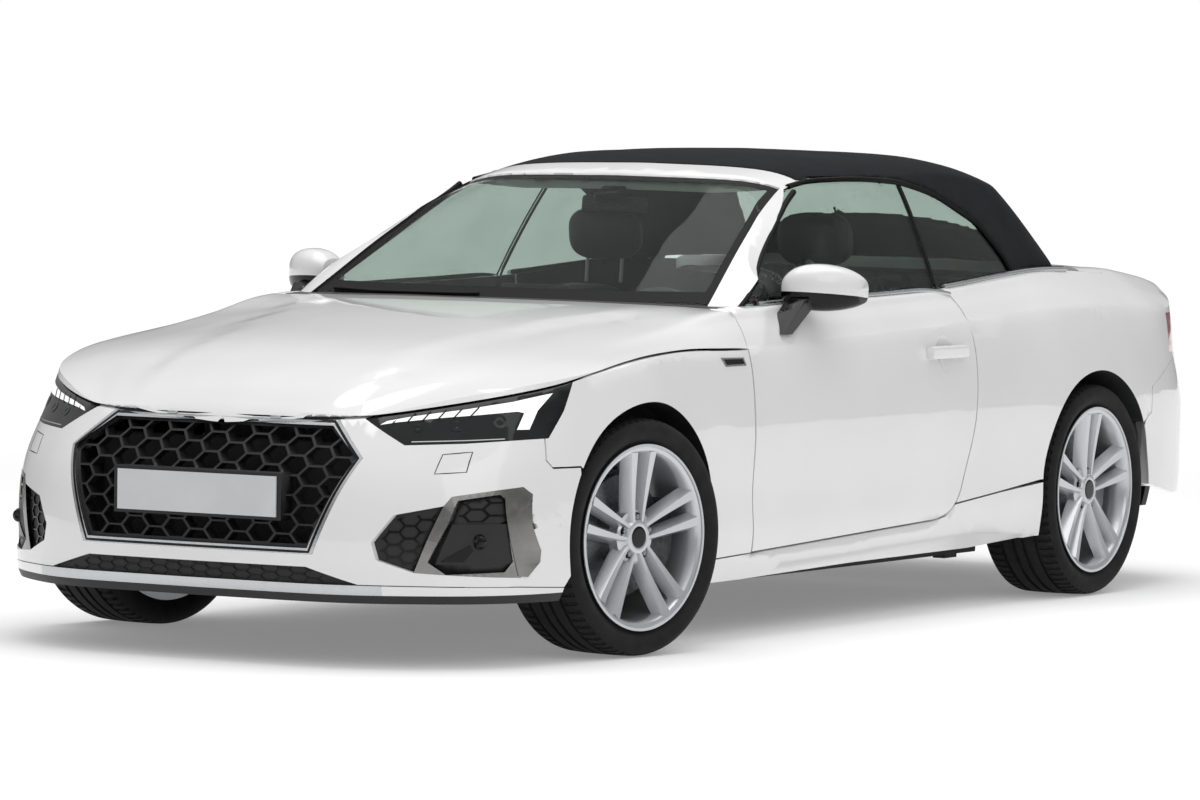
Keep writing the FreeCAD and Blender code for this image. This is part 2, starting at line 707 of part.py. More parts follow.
lip_zone = polygon_prism([(-2600, 100), (-1860, 100), (-1840, 214 - GAP), (-2000, 222 - GAP), (-2300, 228 - GAP),
                          (-2600, 228 - GAP)], "yz", -1000, 1000)
lip = front_skin.common(lip_zone).cut(front_arch).cut(mirrored(front_arch))
feature("front_lip", largest(lip.cut(lower_mesh)))

# Rear quarter panels, deck and boot lid

deck_line = size("boot_front")


def lid_view(clear):
    """Rear view of the boot lid."""
    half = [(500 + clear, 500), (560 + clear, 760), (640 + clear, 870), (690 + clear, 950), (690 + clear, 1200)]
    return half + [(-x, z) for x, z in reversed(half)]


lid_hole = polygon_prism(lid_view(2 * SHUT), "xz", 1500, 2600)
QUARTER_VIEW = [(door_rear - 300, skirt_top(374) + GAP), (374, skirt_top(374) + GAP), (661, skirt_top(661) + GAP),
                (REAR_AXLE - 390, size("sill_rear") + GAP), (REAR_AXLE, size("sill_rear") + GAP), (1690 - GAP, 560),
                (1700 - GAP, 640), (1985, 738), (1985, 1150), (door_rear - 300, 1150)]
LAMP_LOW, LAMP_HIGH = 742, 868
lamp_room = polygon_prism(
    [(1905 - SEAT, LAMP_LOW - SEAT), (2600, LAMP_LOW - SEAT), (2600, LAMP_HIGH + SEAT), (1890 - SEAT, LAMP_HIGH + SEAT)],
    "yz", -1000, 1000)
beside_lid = polygon_prism(
    [(deck_line, LAMP_HIGH), (2600, LAMP_HIGH), (2600, 1150), (deck_line, 1150)], "yz", 560, 1000)
quarter_side = rear_body.common(polygon_prism(QUARTER_VIEW, "yz", DOOR_IN, 1000))
quarter = quarter_side.fuse(rear_skin.common(beside_lid).cut(lid_hole))
quarter = quarter.cut(rear_arch).cut(door_hole).cut(lamp_room)
feature("quarter_panels", both_sides(largest(quarter)))

cover_zone = polygon_prism(
    [(-DOOR_IN + 1, 1500), (DOOR_IN - 1, 1500), (DOOR_IN - 1, deck_line - SHUT), (-DOOR_IN + 1, deck_line - SHUT)],
    "xy", 800, 1200)
feature("top_box_cover", largest(rear_skin.common(cover_zone)))

LID_SIDE = [(deck_line, 1200), (2600, 1200), (2600, 690), (2200, 690), (2140, 760), (2100, 860), (deck_line, 900)]
lid = rear_skin.common(polygon_prism(LID_SIDE, "yz", -1000, 1000)).common(
    polygon_prism(lid_view(0), "xz", 1500, 2600))
lid_lamp_zone = polygon_prism(
    [(1905, LAMP_LOW), (2600, LAMP_LOW), (2600, LAMP_HIGH), (1890, LAMP_HIGH)], "yz", -1000, 1000)
lid_lamp_box = box((330, 800), (2150, 2600), (LAMP_LOW, LAMP_HIGH))
lid_lamp = lid.common(lid_lamp_zone).common(lid_lamp_box)
lid_lamp_hole = lid_lamp_zone.common(lid_lamp_box)
feature("boot_lid", largest(lid.cut(lid_lamp_hole).cut(mirrored(lid_lamp_hole))))
feature("boot_lamps", both_sides(largest(lid_lamp)))

# Rear lamps, bumper and valance

LAMP_VIEW = [(430, LAMP_LOW), (930, LAMP_LOW), (930, LAMP_HIGH), (430, LAMP_HIGH)]
rear_lamp = rear_deep.common(lid_lamp_zone).common(polygon_prism(LAMP_VIEW, "xz", 1500, 2600)).cut(lid_hole)
feature("tail_lamps", both_sides(largest(rear_lamp)))

bumper_back = polygon_prism(
    [(1690 + GAP, 330), (1690 + GAP, 560), (1700 + GAP, 640), (1985, 736), (2600, 736), (2600, 290), (1940, 290)],
    "yz", -1000, 1000)
lid_room = lid_hole.common(box((-900, 900), (1500, 2600), (690 - 2 * SHUT, 1300)))
plate_recess = box((-PLATE_WIDTH / 2 - 20, PLATE_WIDTH / 2 + 20), (TAIL - 14, 2600), (430, 560))
rear_bumper = rear_skin.common(bumper_back).cut(lid_room).cut(plate_recess)
tuck = polygon_prism([(1960, 200), (2600, 560), (2600, 100), (1960, 100)], "yz", 640, 1000)
rear_corners = rear_arch.fuse(mirrored(rear_arch)).fuse(tuck).fuse(mirrored(tuck))
rear_bumper = rear_bumper.cut(rear_corners)
feature("rear_bumper", largest(rear_bumper))

front_plate = box((-PLATE_WIDTH / 2, PLATE_WIDTH / 2), (plate_face - 5, plate_face - SEAT), (PLATE_LOW, PLATE_HIGH))
rear_plate = box((-PLATE_WIDTH / 2, PLATE_WIDTH / 2), (TAIL - 14 + SEAT, TAIL - 9), (440, 550))
feature("number_plates", Part.makeCompound([front_plate, rear_plate]))

valance_zone = polygon_prism([(1690, 232), (1690, 326), (1935, 286), (2600, 286), (2600, 226), (2000, 226)],
                             "yz", -1000, 1000)
valance = rear_skin.common(valance_zone).cut(rear_corners)
pipe_height = 232
for side in (-1, 1):
    valance = valance.cut(rod(V(side * 470, 2000, pipe_height), V(side * 470, 2600, pipe_height),
                              size("exhaust_radius") + 6))
feature("rear_valance", largest(valance))

# Side skirts

SKIRT_VIEW = [(FRONT_AXLE + 300, size("sill_bottom") - 4), (door_front, size("sill_bottom") - 2),
              (-221, size("sill_bottom") + 9), (524, size("sill_bottom") + 12),
              (REAR_AXLE - 396, size("sill_bottom") + 27),
              (REAR_AXLE - 300, size("sill_bottom") + 27), (REAR_AXLE - 300, size("sill_rear") - GAP),
              (661, skirt_top(661) - GAP), (378, skirt_top(374) - GAP), (320, 298 - GAP),
              (239, skirt_top(239) - GAP), (door_front, skirt_top(door_front) - GAP),
              (FRONT_AXLE + 300, skirt_top(FRONT_AXLE) - GAP)]
skirt = body.common(polygon_prism(SKIRT_VIEW, "yz", DOOR_IN - 40, 1000)).cut(front_arch).cut(rear_arch)
blade_cut = polygon_prism([(FRONT_AXLE + 560, 120), (-640, 205), (494, 234), (REAR_AXLE - 460, 216),
                           (REAR_AXLE - 416, 120)], "yz", 866, 1000)
feature("side_skirts", both_sides(largest(skirt.cut(door_hole).cut(blade_cut))))

# Wheel arch liners

liner_radius = ARCH + size("liner_gap")
liner_outer = liner_radius + size("liner_thickness")


def liner(axle, inner_x, inside, strut):
    """Shell over a wheel, with a flange on its inner edge."""
    band = tube_x(liner_outer, axle, HUB_HEIGHT, inner_x, 900).cut(
        tube_x(liner_radius, axle, HUB_HEIGHT, inner_x + size("liner_thickness"), 900))
    band = band.cut(tube_x(310, axle, HUB_HEIGHT, inner_x - 10, 900))
    band = band.common(box((inner_x, 900), (axle - 500, axle + 500), (330, 900)))
    return largest(band.common(inside).cut(strut))


front_strut = rod(V(520, FRONT_AXLE, 600), V(520, FRONT_AXLE, 760), 40 + SEAT)
rear_strut = rod(V(586, REAR_AXLE, 600), V(586, REAR_AXLE, 760), 45 + SEAT)
front_liner = liner(FRONT_AXLE, 448, body_deep, front_strut)
rear_liner = liner(REAR_AXLE, 536, body_inside, rear_strut)
rear_liner = rear_liner.cut(polygon_prism(QUARTER_VIEW, "yz", DOOR_IN - SEAT, 1000))
rear_liner = rear_liner.cut(polygon_prism(SKIRT_VIEW, "yz", DOOR_IN - 40 - SEAT, 1000))
feature("wheel_arch_liners", Part.makeCompound(
    [front_liner, mirrored(front_liner), rear_liner, mirrored(rear_liner)]))

# Form of the cabin above the belt

roof_middle = curve([
    (-900, 1200), (-300, 1262), (-150, 1304), (68, 1350), (300, 1377), (540, size("car_height")),
    (760, size("car_height") - 1), (900, 1377), (1100, 1354), (1250, 1320), (1400, 1270), (1700, 1100),
])
WINDSCREEN_FOOT = -850
WINDSCREEN_RUN = 1.91
screen_sweep = curve([(0, 0), (300, 12), (538, 46), (673, 78), (760, 130), (900, 260)])
cabin_side = curve([
    (-900, 770), (-500, 792), (0, 792), (500, 782), (900, 766), (1200, 744), (1400, 722), (1600, 690),
])
tumblehome = curve([(900, -30), (965, 0), (1060, 42), (1180, 102), (1268, 152), (1400, 236)])
back_line = curve([(900, 1650), (1033, 1562), (1100, 1512), (1200, 1432), (1285, 1352), (1400, 1230)])
back_sweep = curve([(0, 0), (300, 14), (500, 46), (650, 88), (730, 126), (800, 220), (900, 420)])


def beyond_cabin(x, y, z, inset):
    """How far a point lies outside the cabin's plan curve at its height."""
    side = abs(x) - (cabin_side(y) - tumblehome(z) - inset)
    front = WINDSCREEN_FOOT + (z - 939) * WINDSCREEN_RUN + screen_sweep(abs(x)) + inset * 2.1 - y
    rear = y - (back_line(z) - back_sweep(abs(x) + tumblehome(z)) - inset * 1.35)
    return rounded_max(side, rounded_max(front, rear, 60), 80)


ROOF_STATIONS = steps(-1000, -300, 3) + steps(-150, 1350, 11) + [1550, 1750]
roof_fall = curve([(0.0, 0.0), (0.4, 4.0), (0.65, 11.0), (0.8, 24.0), (0.93, 50.0), (1.0, 74.0), (1.15, 146.0),
                   (1.3, 240.0)])


def cabin_form(inset):
    """Cabin above the belt with its soft top, set in by a wall."""
    heights = [900, 965, 1040, 1120, 1200, 1260, 1320, 1410]

    def outside(x, y, z):
        return beyond_cabin(x, y, z, inset)

    walls = stacked_solid(heights, outside, 400, 600, 24, 3)
    grid = []
    for y in ROOF_STATIONS:
        half = [(600 * share, roof_middle(y) - roof_fall(share) - inset) for share in steps(0, 1.3, 12)]
        grid.append([V(-x, y, z) for x, z in reversed(half[1:])] + [V(x, y, z) for x, z in half])
    return walls.common(draped_solid(grid, 900))


cabin = cabin_form(0)
cabin_inside = cabin_form(size("frame_depth"))
cabin_cloth = cabin_form(size("soft_top_thickness"))
GLASS_INSET = 6
glass_skin = cabin_form(GLASS_INSET).cut(cabin_form(GLASS_INSET + size("glass_thickness")))
above_body = body.common(box((-1000, 1000), (-1000, 1750), (500, 1200)))

HEADER = size("header_rear")


def screen_outline(clear):
    """Plan of the windscreen: its foot, side and top edges."""
    foot = [(-686 - clear, -776), (-400, -832 - clear), (0, -846 - clear), (400, -832 - clear)]
    head = [(541 + clear, -92), (300, -122 + clear), (0, -130 + clear), (-300, -122 + clear)]
    return [foot, [(686 + clear, -776)], head, [(-541 - clear, -92)]]


screen_hole = smooth_prism(screen_outline(0), "xy", 800, 1400)
screen_plan = smooth_prism(screen_outline(-SEAT), "xy", 800, 1400)
screen_glass = glass_skin.common(box((-900, 900), (-900, 300), (945, 1400))).common(screen_plan)

PILLAR_LINE = [(-715, 940), (-560, 1024), (-300, 1163), (-90, 1272), (-40, 1284), (6, 1292)]
PILLAR = [(-760, 900)] + PILLAR_LINE + [(HEADER - 10, 1400), (-400, 1500), (-1100, 1300), (-1100, 900)]
frame_shell = cabin.cut(cabin_inside)
frame = frame_shell.common(polygon_prism(PILLAR, "yz", -1000, 1000)).cut(screen_hole)
frame = largest(frame.common(box((-1000, 1000), (-1000, 200), (925, 1400))).cut(above_body))
feature("windscreen_frame", frame)
feature("windscreen", largest(screen_glass.cut(above_body).cut(frame)))

# Side windows

SEAL = size("seal_gap")
TOP_EDGE = [(30, 1296), (87, 1302), (240, 1306), (388, 1302), (540, 1291), (698, 1259), (820, 1212), (917, 1168),
            (975, 1112), (1016, 1062), (1040, 1007)]
door_top = [(y, z - SEAL) for y, z in TOP_EDGE[1:4]]
DOOR_GLASS = [[(y + SEAL, z - SEAL) for y, z in PILLAR_LINE[:4]], door_top, [(501, 1292 - SEAL)], [(446, 930)],
              [(-640, 930)], [(-709, 931)]]
quarter_top = [(507, 1291 - SEAL), (540, 1287 - SEAL)] + [(y - 4, z - SEAL) for y, z in TOP_EDGE[5:]]
QUARTER_GLASS = [[(452, 930)], quarter_top, [(1048, 930)]]
door_glass = largest(glass_skin.common(smooth_prism(DOOR_GLASS, "yz", 300, 1000)).cut(above_body))
feature("door_window_left", door_glass)
feature("door_window_right", mirrored(door_glass))
quarter_glass = glass_skin.common(smooth_prism(QUARTER_GLASS, "yz", 300, 1000)).cut(above_body)
feature("quarter_windows", both_sides(largest(quarter_glass)))

# Soft top

TOP_SIDE = [[(HEADER + 2, 1500)], [(HEADER - 4, 1400)], [(14, 1300)], TOP_EDGE, [(1064, 900)], [(1800, 900)],
            [(1800, 1500)]]


def rear_outline(clear):
    """Plan of the rear window."""
    return [(-440 - clear, 1440 + clear), (-390 - clear, 1180 - clear), (390 + clear, 1180 - clear),
            (440 + clear, 1440 + clear)]


cloth = cabin.cut(cabin_cloth).common(smooth_prism(TOP_SIDE, "yz", -1000, 1000))
cloth = cloth.cut(polygon_prism(rear_outline(0), "xy", 1060, 1500)).cut(above_body)
feature("soft_top", largest(cloth))
rear_plan = polygon_prism(rear_outline(-SEAT), "xy", 1060, 1500)
feature("rear_window", largest(glass_skin.common(rear_plan).common(box((-500, 500), (1100, 1600), (1060, 1500)))))

# Floor, bulkheads and boot well

inner_wall = DOOR_IN - 40 - SEAT
floor_low = size("ground_clearance")
floor_high = floor_low + size("floor_thickness")
well_low = floor_low + size("well_rise")
wide_wall = REAR_AXLE - ARCH - 38
deep_wall = REAR_AXLE - size("bulkhead_offset")
hinge_post = body_deep.common(box((inner_wall - 30, 900), (-1060, -880), (floor_high + 90, 800)))
hinge_post = hinge_post.cut(tube_x(liner_outer + SEAT, FRONT_AXLE, HUB_HEIGHT, 430, 1000))
floor_parts = [
    box((-470, 470), (-2240, -1060), (floor_low + 34, floor_high + 30)),
    box((-530, 530), (wide_wall, 2210), (well_low, well_low + size("floor_thickness"))),
    box((-530, 530), (wide_wall - 2, wide_wall + 20), (floor_low, well_low + size("floor_thickness"))),
    box((-inner_wall, inner_wall), (-905, -880), (floor_low, 860)),
    hinge_post, mirrored(hinge_post),
    box((-130, 130), (-1062, 410), (floor_low, 330)),
    box((-530, 530), (deep_wall, deep_wall + 20), (well_low, 860)),
    box((-530, -510), (wide_wall, 2200), (well_low, 700)),
    box((510, 530), (wide_wall, 2200), (well_low, 700)),
    box((-530, 530), (2160, 2180), (well_low, 640)),
]
jack_y = (FRONT_AXLE + size("jack_inset"), REAR_AXLE - size("jack_inset"))
for side in (-1, 1):
    low, high = sorted((side * 640, side * inner_wall))
    floor_parts.append(box((low, high), (-880, wide_wall), (floor_low, 240)))
    low, high = sorted((side * 515, side * (DOOR_IN - SEAT)))
    floor_parts.append(box((low, high), (wide_wall - 20, wide_wall), (size("sill_rear") + 6, 860)))
    floor_parts.append(box((low, side * inner_wall) if side > 0 else (side * inner_wall, high),
                           (wide_wall - 20, wide_wall), (floor_low, size("sill_rear") + 6)))
    for y in jack_y:
        low, high = sorted((side * (inner_wall - size("jack_width") - 8), side * (inner_wall - 8)))
        floor_parts.append(box((low, high), (y - size("jack_length") / 2, y + size("jack_length") / 2),
                               (floor_low - 12, floor_low + 1)))
floor_plate = box((-inner_wall, inner_wall), (-1060, wide_wall), (floor_low, floor_high))
feature("underbody", floor_plate.fuse(floor_parts).removeSplitter())

# Engine, exhaust and suspension

document.recompute()
engine = block("engine", ("-Sizes.engine_width / 2", "Sizes.engine_width"),
               (FRONT + " - 464", "Sizes.engine_length"), (FLOOR_TOP + " + 70.3", "Sizes.engine_height"))
engine.Label = "engine"
sub_parts.append(engine)

muffler = block("muffler", ("-430", "860"), ("1960", "190"),
                ("Sizes.ground_clearance + 40", "Sizes.well_rise - 40 - Sizes.seat_clearance"))
tails = [bound("Part::Cylinder", "tail_pipe_" + name, Radius="Sizes.exhaust_radius", Height="210",
               Placement__Base__x="%s470" % sign, Placement__Base__y="2080",
               Placement__Base__z="%d" % pipe_height) for name, sign in (("left", ""), ("right", "-"))]
for tail in tails:
    tail.Placement = FreeCAD.Placement(tail.Placement.Base, FreeCAD.Rotation(X_AXIS, -90))
pipe_links = [block("pipe_link_" + name, (start, "70"), ("2080", "60"), ("Sizes.ground_clearance + 40", "60"))
              for name, start in (("left", "425"), ("right", "-495"))]
joined("exhaust", [muffler] + tails + pipe_links)

# Upright with its hub carrier and brake caliper, in the wheel's own frame

upright = document.addObject("PartDesign::Body", "upright")
caliper_view = outline(upright, "caliper_view", "YZ_Plane", [
    ("98", "-62"), ("168", "-100"), ("194", "-58"), ("203", "0"), ("194", "58"), ("168", "100"), ("98", "62")],
    lift="-48")
padded(upright, "caliper", caliper_view, "96")
slot_view = outline(upright, "slot_view", "XZ_Plane", rectangle(
    ("-5", "0"), ("Sizes.disc_thickness + 0.5 + Sizes.disc_gap", "Sizes.disc_radius + Sizes.disc_gap")))
slot = upright.newObject("PartDesign::Groove", "disc_slot")
slot.Profile = (slot_view, [""])
slot.ReferenceAxis = (slot_view, ["H_Axis"])
slot.Angle = 360
document.recompute()
arm_view = outline(upright, "arm_view", "YZ_Plane", rectangle(("20", "-52"), ("118", "52")), lift="-48")
padded(upright, "caliper_arm", arm_view, "30")
post_view = outline(upright, "post_view", "YZ_Plane", rectangle(("-40", "-140"), ("40", "180")), lift="-56")
padded(upright, "post", post_view, "46")
carrier_view = outline(upright, "carrier_view", "XZ_Plane", rectangle(("-60.3", "0"), ("-0.3", "55")))
turned(upright, "hub_carrier", carrier_view)

upright_right = document.addObject("Part::Mirroring", "upright_right")
upright_right.Source = upright
upright_right.Normal = X_AXIS
upright_right.Base = V(0, 0, 0)

STEER = FreeCAD.Rotation(Z_AXIS, -size("steer_rest"))
WHEEL_X = "(Sizes.front_track / 2 - Sizes.kingpin_offset + Sizes.kingpin_offset * cos(Sizes.steer_rest))"
WHEEL_Y = "Sizes.kingpin_offset * sin(Sizes.steer_rest)"
placed("knuckle_left", upright, WHEEL_X, FRONT + " - " + WHEEL_Y, "Sizes.tyre_radius", STEER)
placed("knuckle_right", upright_right, "-" + WHEEL_X, FRONT + " + " + WHEEL_Y, "Sizes.tyre_radius", STEER)

kingpin_x = size("front_track") / 2 - size("kingpin_offset")
knuckle_low, knuckle_high = HUB_HEIGHT - 140, HUB_HEIGHT + 180
subframe_top = floor_high + 70
front_parts = [block("front_subframe", ("-440", "880"), (FRONT + " - 120", "240"), (FLOOR_TOP + " + 30.3", "39.7"))]
for side, name in ((1, "left"), (-1, "right")):
    foot = V(side * kingpin_x, FRONT_AXLE, knuckle_low - 22)
    head = V(side * kingpin_x, FRONT_AXLE, knuckle_high + 12)
    elbow = V(side * 600, FRONT_AXLE, knuckle_high + 16)
    strut_top = V(side * 520, FRONT_AXLE, HUB_HEIGHT + liner_radius - 3)
    front_parts += [
        bar("lower_arm_front_" + name, V(side * 420, FRONT_AXLE - 90, subframe_top - 14), foot, 11),
        bar("lower_arm_rear_" + name, V(side * 420, FRONT_AXLE + 90, subframe_top - 14), foot, 11),
        bar("lower_ball_" + name, foot - V(0, 0, 14.3), foot + V(0, 0, 21.7), 15),
        bar("upper_arm_" + name, elbow, head, 11),
        bar("upper_ball_" + name, head - V(0, 0, 11.7), head + V(0, 0, 11.3), 15),
        bar("strut_rod_" + name, strut_top, elbow, 12),
        bar("strut_" + name, V(side * 520, FRONT_AXLE, subframe_top - 34), strut_top, 40),
        block("strut_foot_" + name, (str(min(side * 400, side * 540)), "140"), (FRONT + " - 40", "80"),
              (FLOOR_TOP + " + 30.3", "35")),
    ]
joined("front_suspension", front_parts)

rear_parts = [block("rear_subframe", ("-480", "960"), (REAR + " - 120", "240"),
                    ("Sizes.ground_clearance + 12", "Sizes.well_rise - 12 - Sizes.seat_clearance"))]
for side, name, master in ((1, "left", upright), (-1, "right", upright_right)):
    carrier = document.addObject("Part::Compound", "rear_upright_" + name)
    carrier.Links = [master]
    carrier.setExpression("Placement.Base.x", "%s Sizes.rear_track / 2" % ("" if side > 0 else "-"))
    carrier.setExpression("Placement.Base.y", REAR)
    carrier.setExpression("Placement.Base.z", "Sizes.tyre_radius")
    post = V(side * (size("rear_track") / 2 - 40), REAR_AXLE, knuckle_low + 12)
    strut_top = V(side * 586, REAR_AXLE, HUB_HEIGHT + liner_radius - 3)
    rear_parts += [
        carrier,
        bar("rear_arm_front_" + name, V(side * 460, REAR_AXLE - 90, floor_low + 50), post, 15),
        bar("rear_arm_rear_" + name, V(side * 460, REAR_AXLE + 90, floor_low + 50), post, 15),
        bar("rear_strut_" + name, V(side * 586, REAR_AXLE, floor_low + 50), strut_top, 45),
        bar("rear_link_" + name, V(side * 470, REAR_AXLE, floor_low + 60), V(side * 600, REAR_AXLE, floor_low + 70),
            20),
    ]
joined("rear_suspension", rear_parts)

# Wheels, in their own frame: X is the axle, +X the outer face

rim = document.addObject("PartDesign::Body", "rim")
section = outline(rim, "rim_section", "XZ_Plane", [
    ("30", "0"), ("Sizes.hub_face", "0"), ("Sizes.hub_face", "Sizes.hub_radius - 14"),
    ("Sizes.hub_face - 8", "Sizes.hub_radius + 4"), ("Sizes.hub_face + 6", "150"),
    ("Sizes.rim_face - 5", "Sizes.rim_barrel + 12"), ("Sizes.rim_face - 3", "Sizes.rim_radius - 8"),
    ("Sizes.rim_face", "Sizes.rim_radius - 8"), ("Sizes.rim_face", "Sizes.rim_radius"),
    ("Sizes.rim_face - 4", "Sizes.rim_radius"), ("107.7", "Sizes.rim_seat"), ("-107.7", "Sizes.rim_seat"),
    ("-Sizes.rim_back + 3", "Sizes.rim_radius"), ("-Sizes.rim_back", "Sizes.rim_radius"),
    ("-Sizes.rim_back", "Sizes.rim_barrel"), ("Sizes.hub_face - 14", "Sizes.rim_barrel"),
    ("Sizes.hub_face - Sizes.spoke_depth + 2", "150"), ("Sizes.hub_face - Sizes.spoke_depth", "Sizes.hub_radius + 8"),
    ("30", "Sizes.hub_radius")])
turned(rim, "dish", section)
EDGE = "(Sizes.spoke_gap + Sizes.spoke_width) / sin(36)"
window = outline(rim, "window_view", "YZ_Plane", [
    ("-(Sizes.window_inner - %s) * tan(36)" % EDGE, "Sizes.window_inner"),
    ("(Sizes.window_inner - %s) * tan(36)" % EDGE, "Sizes.window_inner"),
    ("(206 - %s) * tan(36)" % EDGE, "206"), ("46", "Sizes.rim_barrel - 1"),
    ("-46", "Sizes.rim_barrel - 1"), ("-(206 - %s) * tan(36)" % EDGE, "206")], lift="150", turn=36)
cut_through(rim, "windows", window, 5)
gap_view = outline(rim, "gap_view", "YZ_Plane", [
    ("-Sizes.spoke_gap + 1", "Sizes.window_inner + 4"), ("Sizes.spoke_gap - 1", "Sizes.window_inner + 4"),
    ("Sizes.spoke_gap + 6", "Sizes.rim_barrel - 4"), ("-Sizes.spoke_gap - 6", "Sizes.rim_barrel - 4")], lift="150")
cut_through(rim, "gaps", gap_view, 5)
disc_view = outline(rim, "disc_view", "XZ_Plane", rectangle(
    ("0.5", "0"), ("0.5 + Sizes.disc_thickness", "Sizes.disc_radius")))
turned(rim, "brake_disc", disc_view)

tyre = document.addObject("PartDesign::Body", "tyre")
right_side = [
    ("Sizes.tyre_width / 2 - 40", "Sizes.tyre_radius"),
    ("Sizes.tyre_width / 2 - Sizes.tyre_wall", "Sizes.tyre_radius - 6"),
    ("Sizes.tyre_width / 2", "Sizes.tyre_radius - 40"), ("Sizes.tyre_width / 2 - 8", "Sizes.rim_radius + 14"),
    ("106", "Sizes.rim_radius + 3"), ("104", "Sizes.rim_seat + Sizes.seat_clearance")]
left_side = [("-(%s)" % x, y) for x, y in reversed(right_side)]
carcass = outline(tyre, "tyre_section", "XZ_Plane", right_side + left_side)
turned(tyre, "carcass", carcass)

OUT_LEFT = FreeCAD.Rotation(Z_AXIS, 0)
OUT_RIGHT = FreeCAD.Rotation(Z_AXIS, 180)
for name, master in (("rim", rim), ("tyre", tyre)):
    placed(name + "_front_left", master, WHEEL_X, FRONT + " - " + WHEEL_Y, "Sizes.tyre_radius", STEER)
    placed(name + "_front_right", master, "-" + WHEEL_X, FRONT + " + " + WHEEL_Y, "Sizes.tyre_radius",
           STEER.multiply(OUT_RIGHT))
    placed(name + "_rear_left", master, "Sizes.rear_track / 2", REAR, "Sizes.tyre_radius", OUT_LEFT)
    placed(name + "_rear_right", master, "-Sizes.rear_track / 2", REAR, "Sizes.tyre_radius", OUT_RIGHT)

# Dashboard, seats and steering wheel

DASH_VIEW = [[(-880 + SEAT, 560)], [(-880 + SEAT, 850), (-800, 884), (-700, 900), (-600, 896), (-545, 860), (-540, 790),
             (-566, 660)], [(-640, 560)]]
tilt = math.radians(size("steering_tilt"))
column = V(0, math.cos(tilt), math.sin(tilt))
wheel_middle = V(size("seat_spacing"), size("steering_reach"), size("steering_height"))
dash = smooth_prism(DASH_VIEW, "yz", -DOOR_IN + 8, DOOR_IN - 8)
shroud = rod(wheel_middle - column * (100 + SEAT), wheel_middle - column * 240, 42)
feature("dashboard", largest(dash.common(body_inside.fuse(box((-720, 720), (-900, -300), (500, 920)))).fuse(shroud)))

seat = document.addObject("PartDesign::Body", "seat")
HALF_SEAT = "(Sizes.seat_width / 2)"
BASE = "Sizes.seat_height"
cushion_view = outline(seat, "cushion_view", "YZ_Plane", [
    ("-190", BASE), ("-205", BASE + " + 130"), ("-170", BASE + " + 205"), ("-60", BASE + " + 215"),
    ("310", BASE + " + 180"), ("330", BASE)], lift="-%s" % HALF_SEAT)
padded(seat, "cushion", cushion_view, "Sizes.seat_width")
back_view = outline(seat, "back_view", "YZ_Plane", [
    ("250", BASE + " + 60"), ("262", BASE + " + 190"), ("330", BASE + " + 500"), ("376", BASE + " + 745"),
    ("430", BASE + " + 770"), ("478", BASE + " + 740"), ("430", BASE + " + 300"), ("390", BASE + " + 60")],
    lift="-%s + 12" % HALF_SEAT)
padded(seat, "back", back_view, "Sizes.seat_width - 24")
rest_view = outline(seat, "rest_view", "YZ_Plane", [
    ("388", BASE + " + 750"), ("382", BASE + " + 860"), ("404", BASE + " + 955"), ("450", BASE + " + 962"),
    ("490", BASE + " + 900"), ("474", BASE + " + 740")], lift="-130")
padded(seat, "head_restraint", rest_view, "260")
for name, start in (("inner", "-Sizes.seat_rails - 20"), ("outer", "Sizes.seat_rails - 20")):
    rail_view = outline(seat, "rail_view_" + name, "YZ_Plane", rectangle(
        ("-150", FLOOR_TOP + " + Sizes.seat_clearance"), ("280", BASE + " + 10")), lift=start)
    padded(seat, "rail_" + name, rail_view, "40")
left_seat = document.addObject("Part::Compound", "left_seat")
left_seat.Links = [seat]
left_seat.setExpression("Placement.Base.x", "Sizes.seat_spacing")
right_seat = document.addObject("Part::Compound", "right_seat")
right_seat.Links = [seat]
right_seat.setExpression("Placement.Base.x", "-Sizes.seat_spacing")
front_seats = document.addObject("Part::Compound", "front_seats")
front_seats.Label = "front_seats"
front_seats.Links = [left_seat, right_seat]
sub_parts.append(front_seats)

bench = document.addObject("PartDesign::Body", "rear_bench")
bench.Label = "rear_bench"
BULKHEAD = "(" + REAR + " - Sizes.bulkhead_offset - Sizes.seat_clearance)"
BENCH_BASE = FLOOR_TOP + " + Sizes.well_rise + Sizes.seat_clearance"
bench_view = outline(bench, "bench_view", "YZ_Plane", [
    ("560", BENCH_BASE), ("545", "440"), ("580", "470"), ("850", "440"), ("930", "830"),
    (BULKHEAD, "850"), (BULKHEAD, BENCH_BASE)], lift="-Sizes.bench_width / 2 + 1")
padded(bench, "bench_body", bench_view, "Sizes.bench_width - 2")
sub_parts.append(bench)

ring = bound("Part::Torus", "wheel_ring", Radius1="Sizes.steering_radius", Radius2="Sizes.steering_rim")
hub = bound("Part::Cylinder", "wheel_hub", Radius="62", Height="46", Placement__Base__z="-24")
shaft = bound("Part::Cylinder", "wheel_shaft", Radius="26", Height="90", Placement__Base__z="-100")
cross_bar = block("cross_bar", ("-Sizes.steering_radius", "2 * Sizes.steering_radius"), ("-18", "36"), ("-9", "18"))
lower_bar = block("lower_bar", ("-18", "36"), ("-Sizes.steering_radius", "Sizes.steering_radius"), ("-9", "18"))
steering = document.addObject("Part::MultiFuse", "steering_wheel")
steering.Label = "steering_wheel"
steering.Shapes = [ring, hub, shaft, cross_bar, lower_bar]
steering.Placement = FreeCAD.Placement(V(0, 0, 0), FreeCAD.Rotation(X_AXIS, size("steering_tilt") - 90))
steering.setExpression("Placement.Base.x", "Sizes.seat_spacing")
steering.setExpression("Placement.Base.y", "Sizes.steering_reach")
steering.setExpression("Placement.Base.z", "Sizes.steering_height")
sub_parts.append(steering)

# Door mirrors


